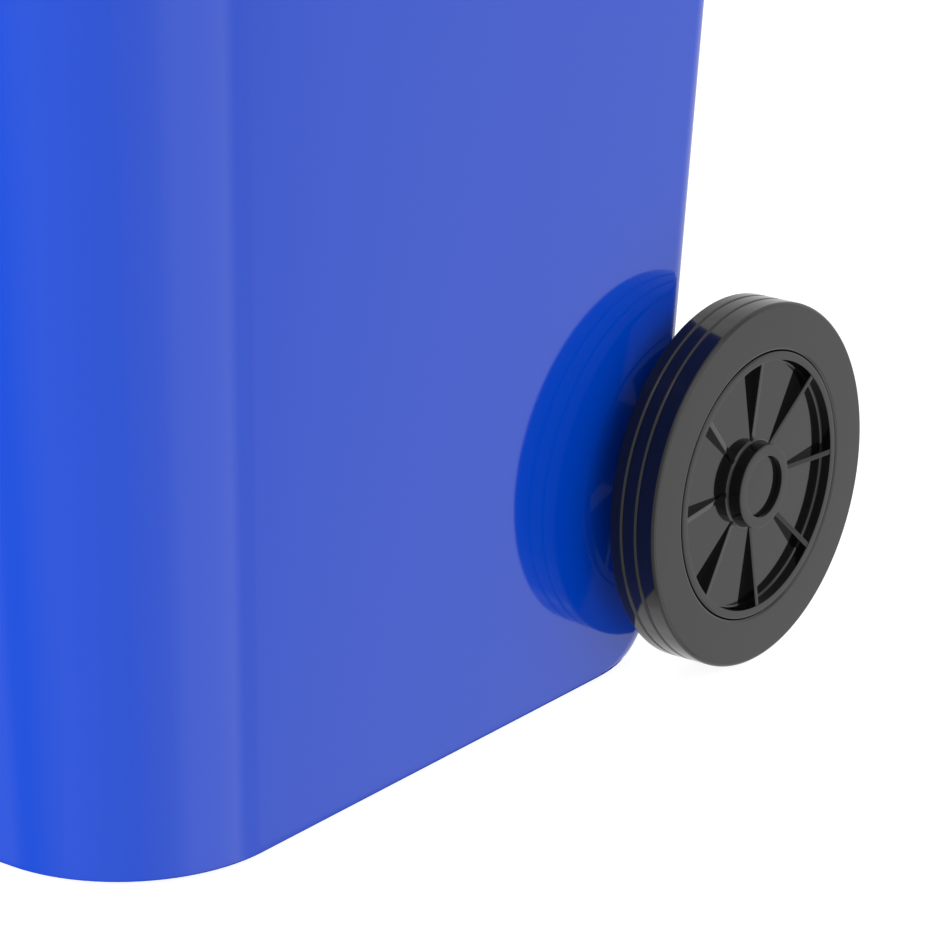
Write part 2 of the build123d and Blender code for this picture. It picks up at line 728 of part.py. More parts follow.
def chip_plug():
    """The plug that closes the tag nest under the front of the rim."""
    with BuildPart() as plug:
        with BuildSketch(Plane.XZ.offset(-front_y(CHIP_NEST_Z) + 2)):
            with Locations((0, CHIP_NEST_Z)):
                Circle(CHIP_PLUG_RADIUS)
        extrude(amount=8)
        fillet(plug.edges().filter_by(GeomType.CIRCLE).sort_by(Axis.Y)[0], 1.5)
    return plug.part


def drain_plug():
    """The plug in the base, with its flange inside the tub."""
    with BuildPart() as plug:
        with BuildSketch(Plane.XY.offset(BASE_Z + 0.5)):
            with Locations((0, AXLE_Y - 160)):
                Circle(DRAIN_RADIUS)
        extrude(amount=BASE_THICKNESS)
        with BuildSketch(Plane.XY.offset(BASE_Z + BASE_THICKNESS)):
            with Locations((0, AXLE_Y - 160)):
                Circle(DRAIN_FLANGE_RADIUS)
        extrude(amount=4)
        fillet(plug.edges().filter_by(GeomType.CIRCLE).group_by(Axis.Z)[-1], 1.5)
    return plug.part


def save(part, node):
    """Label one finished piece and write it as a STEP file."""
    part.label = node
    export_step(part, f"parts/{node}.step")
    print(f"{node}: {part.volume / 1000:.1f} cm3")


def main():
    """Build and write every piece of the bin."""
    os.makedirs("parts", exist_ok=True)
    for pieces in (tub_pieces(), rim_pieces(), lid_pieces()):
        for name, piece in pieces.items():
            save(piece, name)
    save(comb_ribs(), "comb_ribs")
    save(hinge_lugs(), "hinge_lugs")
    save(grips(), "grips")
    save(axle_brackets(), "axle_brackets")
    save(front_skid(), "front_skid")
    save(tag_nest(), "tag_nest")
    save(lid_knuckles(), "lid_knuckles")
    save(axle(), "axle")
    save(chip_plug(), "chip_plug")
    save(drain_plug(), "drain_plug")
    for name, side in SIDES.items():
        save(hinge_pin(side), f"hinge_pin_{name}")
        save(lid_buffer(side), f"lid_buffer_{name}")
        save(wheel_core(side), f"wheel_core_{name}")
        save(tyre(side), f"tyre_{name}")
        save(hub_cap(side), f"hub_cap_{name}")
        bore = AXLE_RADIUS + RUNNING_CLEARANCE
        save(tube(side, HUB_INNER_X + 0.3, HUB_FLOOR_X - 0.3, bore, BUSH_RADIUS), f"hub_bush_{name}")
        bracket_x = BRACKET_XS[-1] + BRACKET_THICKNESS / 2
        save(tube(side, bracket_x, HUB_INNER_X - 0.4, bore, SPACER_RADIUS), f"axle_spacer_{name}")
        save(tube(side, HUB_FLOOR_X + 0.4, HUB_FLOOR_X + 2.4, bore, 17.0), f"hub_washer_{name}")
        save(tube(side, HUB_FLOOR_X + 2.4, HUB_FLOOR_X + 4.4, AXLE_RADIUS - 0.1, 16.0), f"lock_ring_{name}")


main()
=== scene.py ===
"""The visual model of a two-wheeled household bin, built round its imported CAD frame.

Units are metres. +Z is up, -Y is the front with the comb rim, and +Y is the back
with the lid hinge, the grips and the wheels. Sizes that the frame doesn't give are
the dataclass fields of each sub-assembly.
"""

import json
import logging
import math
from dataclasses import dataclass
from enum import Enum

import bmesh
import bpy
from bmesh.types import BMEdge, BMesh, BMFace, BMVert
from mathutils import Matrix, Vector


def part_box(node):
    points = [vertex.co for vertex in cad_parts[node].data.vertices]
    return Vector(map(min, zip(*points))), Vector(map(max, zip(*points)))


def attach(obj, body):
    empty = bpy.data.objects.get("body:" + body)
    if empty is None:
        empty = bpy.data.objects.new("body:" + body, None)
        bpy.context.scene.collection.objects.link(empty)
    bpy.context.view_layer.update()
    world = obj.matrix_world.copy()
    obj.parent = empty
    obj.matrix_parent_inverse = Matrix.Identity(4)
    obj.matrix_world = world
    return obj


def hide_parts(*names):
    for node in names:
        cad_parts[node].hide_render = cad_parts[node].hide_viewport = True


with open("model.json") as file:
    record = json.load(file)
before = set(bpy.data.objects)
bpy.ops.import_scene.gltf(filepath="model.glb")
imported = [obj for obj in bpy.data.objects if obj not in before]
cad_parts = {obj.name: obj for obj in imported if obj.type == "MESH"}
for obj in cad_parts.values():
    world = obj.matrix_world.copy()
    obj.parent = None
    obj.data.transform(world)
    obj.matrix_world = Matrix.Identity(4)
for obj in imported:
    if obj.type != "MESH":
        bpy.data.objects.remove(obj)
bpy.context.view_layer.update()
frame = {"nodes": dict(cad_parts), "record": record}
LOG = logging.getLogger("bin")
MM = 0.001
AXIS_X = Vector((1.0, 0.0, 0.0))
SMOOTH_ANGLE = math.radians(32.0)
EDGE_ANGLE = math.radians(40)
MERGE_DISTANCE = 1e-6
FRONT_CORNER_SEGMENTS = 24
REAR_CORNER_SEGMENTS = 10
FLAT_FACES = "flat_faces"
TUB_NODES = (
    "tub_base",
    "tub_front",
    "tub_sides",
    "tub_rear",
    "tub_rear_corners",
    "tub_heel",
    "tub_heel_corners",
    "tub_corners_side",
    "tub_corners_near_side",
    "tub_corners_near_front",
    "tub_corners_front",
    "rim_front_flange",
    "rim_front_lip",
    "rim_front_corners",
    "rim_sides",
    "rim_rear",
)
LID_NODES = (
    "lid_panel",
    "lid_front_slope",
    "lid_side_slopes",
    "lid_rear_slope",
    "lid_front_skirt",
    "lid_side_skirts",
    "lid_front_corners",
    "lid_rear_corners",
)


class Side(Enum):
    """The two sides of the bin, as the sign of X."""

    LEFT = -1
    RIGHT = 1

    @property
    def label(self) -> str:
        """The side's name as the CAD nodes spell it."""
        return self.name.lower()

    def span(self, start: float, end: float) -> tuple[float, float]:
        """Two distances from the middle plane as X on this side, the lower one first."""
        low, high = sorted((self.value * start, self.value * end))
        return low, high


class Body(Enum):
    """The rigid bodies of the frame."""

    BIN = "bin"
    LID = "lid"
    WHEEL_LEFT = "wheel_left"
    WHEEL_RIGHT = "wheel_right"

    @classmethod
    def wheel(cls, side: Side) -> "Body":
        """The wheel body of one side."""
        return cls.WHEEL_LEFT if side is Side.LEFT else cls.WHEEL_RIGHT


class Slot(Enum):
    """The record's material slots."""

    BLUE = "blue_plastic"
    BLACK = "black_plastic"
    WHEEL = "wheel_plastic"
    TYRE = "tyre_rubber"
    STEEL = "steel"
    NYLON = "nylon"
    BUFFER = "buffer_rubber"


# --- shared shader node groups -------------------------------------------------


@dataclass(frozen=True)
class NodeGroup:
    """A shader node group with named inputs and outputs."""

    name: str
    inputs: tuple[tuple[str, float], ...]
    outputs: tuple[str, ...]

    def open(self) -> tuple[bpy.types.ShaderNodeTree, bpy.types.Node, bpy.types.Node]:
        """Make the empty group.

        Returns:
            The node tree, its group input node and its group output node.
        """
        tree = bpy.data.node_groups.new(self.name, "ShaderNodeTree")
        for label, value in self.inputs:
            socket = tree.interface.new_socket(label, in_out="INPUT", socket_type="NodeSocketFloat")
            socket.default_value = value
        for label in self.outputs:
            tree.interface.new_socket(label, in_out="OUTPUT", socket_type="NodeSocketFloat")
        return tree, tree.nodes.new("NodeGroupInput"), tree.nodes.new("NodeGroupOutput")


def noise_node(tree: bpy.types.NodeTree, scale: float, detail: float) -> bpy.types.Node:
    """A noise texture on Object coordinates.

    Args:
        tree: The node tree to add it to.
        scale: Its scale, per metre.
        detail: Its number of octaves.

    Returns:
        The noise node.
    """
    where = tree.nodes.new("ShaderNodeTexCoord")
    noise = tree.nodes.new("ShaderNodeTexNoise")
    noise.inputs["Scale"].default_value = scale
    noise.inputs["Detail"].default_value = detail
    tree.links.new(where.outputs["Object"], noise.inputs["Vector"])
    return noise


def math_node(tree: bpy.types.NodeTree, operation: str, first: object, second: object) -> bpy.types.Node:
    """A Math node of two operands, each a number or an output socket.

    Args:
        tree: The node tree to add it to.
        operation: The Math node's operation.
        first: The first operand.
        second: The second operand.

    Returns:
        The Math node.
    """
    node = tree.nodes.new("ShaderNodeMath")
    node.operation = operation
    for socket, operand in zip(node.inputs, (first, second)):
        if isinstance(operand, (int, float)):
            socket.default_value = operand
        else:
            tree.links.new(operand, socket)
    return node


def moulded_skin() -> bpy.types.ShaderNodeTree:
    """The faint waviness and grain of a moulded surface, as a height and a tone.

    Returns:
        A group whose Height is in metres and whose Tone runs from 0 to 1.
    """
    inputs = (("Wave depth", 1e-5), ("Grain depth", 4e-6), ("Grain scale", 900.0))
    tree, group_in, group_out = NodeGroup("moulded_skin", inputs, ("Height", "Tone")).open()
    wave = noise_node(tree, 22.0, 2.0)
    grain = noise_node(tree, 900.0, 3.0)
    tree.links.new(group_in.outputs["Grain scale"], grain.inputs["Scale"])
    tone = noise_node(tree, 5.0, 4.0)
    deep = math_node(tree, "MULTIPLY", wave.outputs["Fac"], group_in.outputs["Wave depth"])
    fine = math_node(tree, "MULTIPLY", grain.outputs["Fac"], group_in.outputs["Grain depth"])
    total = math_node(tree, "ADD", deep.outputs[0], fine.outputs[0])
    tree.links.new(total.outputs[0], group_out.inputs["Height"])
    tree.links.new(tone.outputs["Fac"], group_out.inputs["Tone"])
    return tree


def handling_wear() -> bpy.types.ShaderNodeTree:
    """Sparse fine rubs: a mask from stretched noise, cut off by a threshold.

    Returns:
        A group whose Mask is 0 on clean plastic and up to Amount on a rub.
    """
    inputs = (("Amount", 0.3), ("Cover", 0.62))
    tree, group_in, group_out = NodeGroup("handling_wear", inputs, ("Mask",)).open()
    where = tree.nodes.new("ShaderNodeTexCoord")
    turn = tree.nodes.new("ShaderNodeMapping")
    turn.inputs["Rotation"].default_value = (0.3, 0.2, 0.5)
    turn.inputs["Scale"].default_value = (1.0, 9.0, 1.0)
    streak = tree.nodes.new("ShaderNodeTexNoise")
    streak.inputs["Scale"].default_value = 38.0
    streak.inputs["Detail"].default_value = 6.0
    tree.links.new(where.outputs["Object"], turn.inputs["Vector"])
    tree.links.new(turn.outputs["Vector"], streak.inputs["Vector"])
    past = math_node(tree, "SUBTRACT", streak.outputs["Fac"], group_in.outputs["Cover"])
    sharp = math_node(tree, "MULTIPLY", past.outputs[0], 9.0)
    sharp.use_clamp = True
    mask = math_node(tree, "MULTIPLY", sharp.outputs[0], group_in.outputs["Amount"])
    tree.links.new(mask.outputs[0], group_out.inputs["Mask"])
    return tree


SKIN_GROUP = moulded_skin()
WEAR_GROUP = handling_wear()


@dataclass(frozen=True)
class Finish:
    """One finish of the bin: a Principled shader fed by the shared groups."""

    name: str
    colour: tuple[float, float, float]
    tint: tuple[float, float, float]
    roughness: float
    rough_spread: float = 0.04
    metallic: float = 0.0
    specular_ior: float = 1.5
    wave_depth: float = 1e-5
    grain_depth: float = 3e-6
    grain_scale: float = 900.0
    wear: float = 0.2
    wear_cover: float = 0.64

    def group(
        self, tree: bpy.types.NodeTree, made: bpy.types.ShaderNodeTree, **values: float
    ) -> bpy.types.Node:
        """Place a shared group in this finish with its own values.

        Args:
            tree: The material's node tree.
            made: The group to place.
            **values: Its inputs, with underscores for spaces.

        Returns:
            The group node.
        """
        node = tree.nodes.new("ShaderNodeGroup")
        node.node_tree = made
        for label, value in values.items():
            node.inputs[label.replace("_", " ")].default_value = value
        return node

    def material(self) -> bpy.types.Material:
        """The finish as a node material.

        Returns:
            The new material.
        """
        made = bpy.data.materials.new(self.name)
        made.use_nodes = True
        tree = made.node_tree
        shader = tree.nodes["Principled BSDF"]
        shader.inputs["Metallic"].default_value = self.metallic
        shader.inputs["IOR"].default_value = self.specular_ior
        skin = self.group(
            tree,
            SKIN_GROUP,
            Wave_depth=self.wave_depth,
            Grain_depth=self.grain_depth,
            Grain_scale=self.grain_scale,
        )
        wear = self.group(tree, WEAR_GROUP, Amount=self.wear, Cover=self.wear_cover)
        blend = tree.nodes.new("ShaderNodeMix")
        blend.data_type = "RGBA"
        blend.inputs["A"].default_value = (*self.colour, 1.0)
        blend.inputs["B"].default_value = (*self.tint, 1.0)
        cover = math_node(tree, "MULTIPLY_ADD", skin.outputs["Tone"], 0.35)
        tree.links.new(wear.outputs["Mask"], cover.inputs[2])
        tree.links.new(cover.outputs[0], blend.inputs["Factor"])
        tree.links.new(blend.outputs["Result"], shader.inputs["Base Color"])
        rough = math_node(tree, "MULTIPLY_ADD", skin.outputs["Tone"], self.rough_spread)
        rough.inputs[2].default_value = self.roughness - self.rough_spread / 2
        worn = math_node(tree, "MULTIPLY_ADD", wear.outputs["Mask"], 0.3)
        tree.links.new(rough.outputs[0], worn.inputs[2])
        tree.links.new(worn.outputs[0], shader.inputs["Roughness"])
        bump = tree.nodes.new("ShaderNodeBump")
        bump.inputs["Distance"].default_value = 1.0
        tree.links.new(skin.outputs["Height"], bump.inputs["Height"])
        tree.links.new(bump.outputs["Normal"], shader.inputs["Normal"])
        return made


FINISHES = {
    Slot.BLUE: Finish("blue_plastic", (0.0, 0.049, 0.49), (0.002, 0.052, 0.505), 0.06, 0.02, wear=0.06),
    Slot.BLACK: Finish("black_plastic", (0.012, 0.012, 0.013), (0.02, 0.02, 0.021), 0.3, 0.1),
    Slot.WHEEL: Finish("wheel_black", (0.0026, 0.0026, 0.0026), (0.004, 0.004, 0.004), 0.07, 0.03, wear=0.06),
    Slot.TYRE: Finish("tyre_black", (0.003, 0.003, 0.003), (0.0045, 0.0045, 0.0045), 0.09, 0.03, wear=0.08),
    Slot.STEEL: Finish("zinc_steel", (0.5, 0.5, 0.52), (0.38, 0.38, 0.39), 0.34, 0.14, metallic=1.0),
    Slot.NYLON: Finish("natural_nylon", (0.62, 0.61, 0.56), (0.55, 0.54, 0.49), 0.5, 0.1),
    Slot.BUFFER: Finish("buffer_rubber", (0.02, 0.02, 0.02), (0.03, 0.03, 0.03), 0.7, 0.1),
}


class Wardrobe:
    """Makes each finish's material once and dresses pieces and CAD nodes in it."""

    def __init__(self) -> None:
        """Start with no material made."""
        self.made: dict[Slot, bpy.types.Material] = {}

    def material(self, slot: Slot) -> bpy.types.Material:
        """The material of a slot, made at its first use.

        Args:
            slot: The slot.

        Returns:
            Its material.
        """
        if slot not in self.made:
            self.made[slot] = FINISHES[slot].material()
        return self.made[slot]

    def dress(self, piece: bpy.types.Object, slot: Slot) -> None:
        """Give a mesh object one slot's material."""
        piece.data.materials.clear()
        piece.data.materials.append(self.material(slot))


WARDROBE = Wardrobe()

# --- mesh helpers --------------------------------------------------------------


def link_object(name: str, data: bpy.types.ID) -> bpy.types.Object:
    """Make an object of a mesh, a light or a camera and link it to the scene.

    Args:
        name: The object's name.
        data: Its data.

    Returns:
        The new object.
    """
    made = bpy.data.objects.new(name, data)
    bpy.context.scene.collection.objects.link(made)
    return made


def mesh_object(mesh: BMesh, name: str) -> bpy.types.Object:
    """Turn a bmesh into an object in the scene.

    Args:
        mesh: The shape, which is freed.
        name: The name of the object and of its mesh.

    Returns:
        The new object.
    """
    data = bpy.data.meshes.new(name)
    mesh.to_mesh(data)
    mesh.free()
    return link_object(name, data)


def shade_piece(piece: bpy.types.Object) -> None:
    """Shade a piece smooth, with its sharp edges and its flat faces kept.

    Args:
        piece: The piece, whose mesh is finished.
    """
    piece.data.shade_smooth()
    piece.data.set_sharp_from_angle(angle=SMOOTH_ANGLE)
    piece.modifiers.new(FLAT_FACES, "WEIGHTED_NORMAL").keep_sharp = True


def middle_line(low: Vector, high: Vector) -> Vector:
    """The point of the middle plane that a box's middle line along X passes through."""
    return Vector((0, (low.y + high.y) / 2, (low.z + high.z) / 2))


def finish_piece(
    mesh: BMesh, name: str, body: Body, slot: Slot, replaces: tuple[str, ...] = ()
) -> bpy.types.Object:
    """Turn a bmesh into a dressed piece that rides on a body.

    Args:
        mesh: The shape, which is freed.
        name: The piece's name.
        body: The body it rides on.
        slot: The material slot it is dressed in.
        replaces: The CAD nodes that it stands for.

    Returns:
        The new object.
    """
    bmesh.ops.remove_doubles(mesh, verts=mesh.verts, dist=MERGE_DISTANCE)
    bmesh.ops.recalc_face_normals(mesh, faces=mesh.faces)
    piece = mesh_object(mesh, name)
    shade_piece(piece)
    WARDROBE.dress(piece, slot)
    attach(piece, body.value)
    if replaces:
        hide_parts(*replaces)
    LOG.info("%s: %d faces on %s", name, len(piece.data.polygons), body.value)
    return piece


def round_edges(mesh: BMesh, geometry: list, radius: float, segments: int, corners: bool = False) -> None:
    """Round edges, or the corners of a flat face, to a circular section.

    Args:
        mesh: The bmesh.
        geometry: The edges or vertices to round.
        radius: The radius of the round.
        segments: Its number of segments.
        corners: True to round vertices of a flat face.
    """
    bmesh.ops.bevel(
        mesh,
        geom=geometry,
        offset=radius,
        offset_type="OFFSET",
        segments=segments,
        profile=0.5,
        affect="VERTICES" if corners else "EDGES",
        clamp_overlap=False,
        material=-1,
    )


@dataclass(frozen=True)
class Plan:
    """A plan outline: half width, front and rear ends, and corner radii."""

    side: float
    front: float
    rear: float
    front_radius: float
    rear_radius: float
    rear_stretch: float = 1.0

    def grown(self, side: float, front: float, rear: float, corner: float) -> "Plan":
        """The outline moved outwards at its sides and ends.

        Args:
            side: How far each side moves out.
            front: How far the front moves out.
            rear: How far the rear moves out.
            corner: How much each corner radius grows.

        Returns:
            The new outline.
        """
        return Plan(
            self.side + side,
            self.front - front,
            self.rear + rear,
            self.front_radius + corner,
            self.rear_radius + corner,
            self.rear_stretch,
        )

    def draw(self, mesh: BMesh, z: float) -> tuple[BMFace, list[BMEdge]]:
        """Draw the outline as one flat face at a height.

        Args:
            mesh: The bmesh to draw in.
            z: The height.

        Returns:
            The face and its edges.
        """
        known = set(mesh.verts)
        spots = ((-1, self.front), (1, self.front), (1, self.rear), (-1, self.rear))
        verts = [mesh.verts.new((sign * self.side, y, z)) for sign, y in spots]
        mesh.faces.new(verts)
        round_edges(mesh, verts[:2], self.front_radius, FRONT_CORNER_SEGMENTS, corners=True)
        round_edges(mesh, verts[2:], self.rear_radius, REAR_CORNER_SEGMENTS, corners=True)
        new = [vert for vert in mesh.verts if vert not in known]
        if self.rear_stretch != 1.0:
            start = self.rear - self.rear_radius - MM / 100
            corner = [vert for vert in new if vert.co.y > start]
            to_rear = Matrix.Translation((0, self.rear, 0))
            stretch = to_rear @ Matrix.Diagonal((1, self.rear_stretch, 1, 1)) @ to_rear.inverted()
            bmesh.ops.transform(mesh, matrix=stretch, verts=corner)
        face = next(iter(new[0].link_faces))
        return face, list(face.edges)


def join_rings(mesh: BMesh, first: list[BMVert], second: list[BMVert]) -> None:
    """Join two rings of as many vertices with quads, each vertex to its nearest partner.

    Args:
        mesh: The bmesh to build in.
        first: One ring, in order.
        second: The other ring, in the same direction.
    """
    count = len(first)

    def spread(shift: int) -> float:
        """The summed squared distance between partners at a shift of the second ring."""
        return sum((first[i].co - second[(i + shift) % count].co).length_squared for i in range(count))

    best = min(range(count), key=spread)
    for i in range(count):
        after = (i + 1) % count
        mesh.faces.new((first[i], first[after], second[(after + best) % count], second[(i + best) % count]))


def loft(
    mesh: BMesh, levels: list[tuple[Plan, float]], cap_first: bool = False, cap_last: bool = False
) -> list[list[BMEdge]]:
    """Bridge a row of plan outlines, each at its height.

    Args:
        mesh: The bmesh to build in.
        levels: The outlines and their heights, in order.
        cap_first: True to keep the first outline's face.
        cap_last: True to keep the last outline's face.

    Returns:
        The edges of each outline.
    """
    loops, rings = [], []
    for index, (plan, z) in enumerate(levels):
        face, edges = plan.draw(mesh, z)
        rings.append(list(face.verts))
        keep = (cap_first and index == 0) or (cap_last and index == len(levels) - 1)
        if not keep:
            bmesh.ops.delete(mesh, geom=[face], context="FACES_ONLY")
        loops.append(edges)
    for lower, upper in zip(rings, rings[1:]):
        join_rings(mesh, lower, upper)
    return loops


@dataclass(frozen=True)
class Corner:
    """A corner of a turned profile: its place along X, its radius and its rounding."""

    x: float
    radius: float
    rounding: float = 0.0
    segments: int = 3


def turn_profile(mesh: BMesh, corners: list[Corner], centre: Vector, side: Side, steps: int) -> None:
    """Spin a closed profile once round the X axis through a point.

    Args:
        mesh: The bmesh to build in.
        corners: The profile's corners, with X measured outwards from the middle plane.
        centre: A point on the axis.
        side: The side of the bin the shape is on.
        steps: The number of steps in a full turn.
    """
    verts = [
        mesh.verts.new((side.value * corner.x, centre.y, centre.z + corner.radius)) for corner in corners
    ]
    mesh.faces.new(verts)
    known = set(mesh.verts) - set(verts)
    for vert, corner in zip(verts, corners):
        if corner.rounding > 0:
            round_edges(mesh, [vert], corner.rounding, corner.segments, corners=True)
    new = [vert for vert in mesh.verts if vert not in known]
    face = new[0].link_faces[0]
    edges = [edge for edge in face.edges if max(v.co.z - centre.z for v in edge.verts) > MM / 1000]
    bmesh.ops.delete(mesh, geom=[face], context="FACES_ONLY")
    ring = [vert for edge in edges for vert in edge.verts]
    bmesh.ops.spin(
        mesh,
        geom=list(dict.fromkeys(ring)) + edges,
        cent=centre,
        axis=AXIS_X,
        angle=2 * math.pi,
        steps=steps,
        use_merge=True,
    )
    bmesh.ops.remove_doubles(mesh, verts=mesh.verts, dist=MERGE_DISTANCE)
    wires = [edge for edge in mesh.edges if edge.is_wire]
    bmesh.ops.delete(mesh, geom=wires, context="EDGES")


def sharp_edges(faces: list[BMFace]) -> list[BMEdge]:
    """The edges of some faces that turn by more than EDGE_ANGLE."""
    edges = {edge for face in faces for edge in face.edges}
    return [edge for edge in edges if edge.is_manifold and edge.calc_face_angle(0.0) > EDGE_ANGLE]


def plate(
    mesh: BMesh, spots: list[tuple[float, float]], start_x: float, end_x: float, rounding: float
) -> list[BMVert]:
    """A flat plate across X with an outline of (y, z) corners and rounded edges.

    Args:
        mesh: The bmesh to build in.
        spots: The outline's corners.
        start_x: The plate's first face.
        end_x: Its second face.
        rounding: The radius of its edges.

    Returns:
        The plate's vertices.
    """
    known = set(mesh.verts)
    face = mesh.faces.new([mesh.verts.new((start_x, y, z)) for y, z in spots])
    made = bmesh.ops.extrude_face_region(mesh, geom=[face], use_keep_orig=True)["geom"]
    moved = [item for item in made if isinstance(item, BMVert)]
    bmesh.ops.translate(mesh, verts=moved, vec=(end_x - start_x, 0, 0))
    faces = list({f for v in mesh.verts if v not in known for f in v.link_faces})
    bmesh.ops.recalc_face_normals(mesh, faces=faces)
    round_edges(mesh, sharp_edges(faces), rounding, 2)
    return [vert for vert in mesh.verts if vert not in known]


def hull_plate(
    mesh: BMesh,
    centre: Vector,
    radius: float,
    neck: list[tuple[float, float]],
    start_x: float,
    end_x: float,
    rounding: float,
) -> None:
    """A plate whose outline is the tight wrap of a circle and two neck corners.

    Args:
        mesh: The bmesh to build in.
        centre: The circle's centre.
        radius: The circle's radius.
        neck: The (y, z) corners at the wall.
        start_x: The plate's first face.
        end_x: Its second face.
        rounding: The radius of its edges.
    """
    verts = []
    for x in (start_x, end_x):
        placed = Matrix.Translation((x, centre.y, centre.z)) @ Matrix.Rotation(math.pi / 2, 4, "Y")
        ring = bmesh.ops.create_circle(mesh, cap_ends=False, radius=radius, segments=48, matrix=placed)
        verts += ring["verts"]
        verts += [mesh.verts.new((x, y, z)) for y, z in neck]
    bmesh.ops.delete(mesh, geom=list({e for v in verts for e in v.link_edges}), context="EDGES_FACES")
    verts = [vert for vert in verts if vert.is_valid]
    hull = bmesh.ops.convex_hull(mesh, input=verts)
    faces = [item for item in hull["geom"] if isinstance(item, BMFace)]
    edges = list({edge for face in faces for edge in face.edges})
    corners = list({vert for face in faces for vert in face.verts})
    flat = bmesh.ops.dissolve_limit(mesh, angle_limit=0.01, verts=corners, edges=edges)["region"]
    loose = [vert for vert in verts if vert.is_valid and not vert.link_faces]
    bmesh.ops.delete(mesh, geom=loose, context="VERTS")
    round_edges(mesh, sharp_edges([f for f in flat if isinstance(f, BMFace)]), rounding, 2)


def block(mesh: BMesh, low: Vector, high: Vector, upright: float, rounding: float) -> None:
    """A box with rounded upright edges and softened ends.

    Args:
        mesh: The bmesh to build in.
        low: Its lowest corner.
        high: Its highest corner.
        upright: The radius of its four upright edges.
        rounding: The radius of its other edges.
    """
    size = high - low
    place = Matrix.Translation((low + high) / 2) @ Matrix.Diagonal((*size, 1))
    verts = bmesh.ops.create_cube(mesh, size=1.0, matrix=place)["verts"]
    faces = list({face for vert in verts for face in vert.link_faces})
    edges = {edge for face in faces for edge in face.edges}
    standing = [e for e in edges if abs(e.verts[0].co.z - e.verts[1].co.z) > size.z / 2]
    ends = [face for face in faces if abs(face.normal.z) > 0.9]
    round_edges(mesh, standing, upright, 8)
    ends = [face for face in ends if face.is_valid]
    round_edges(mesh, sharp_edges(ends), rounding, 2)


# --- sub-assemblies ------------------------------------------------------------


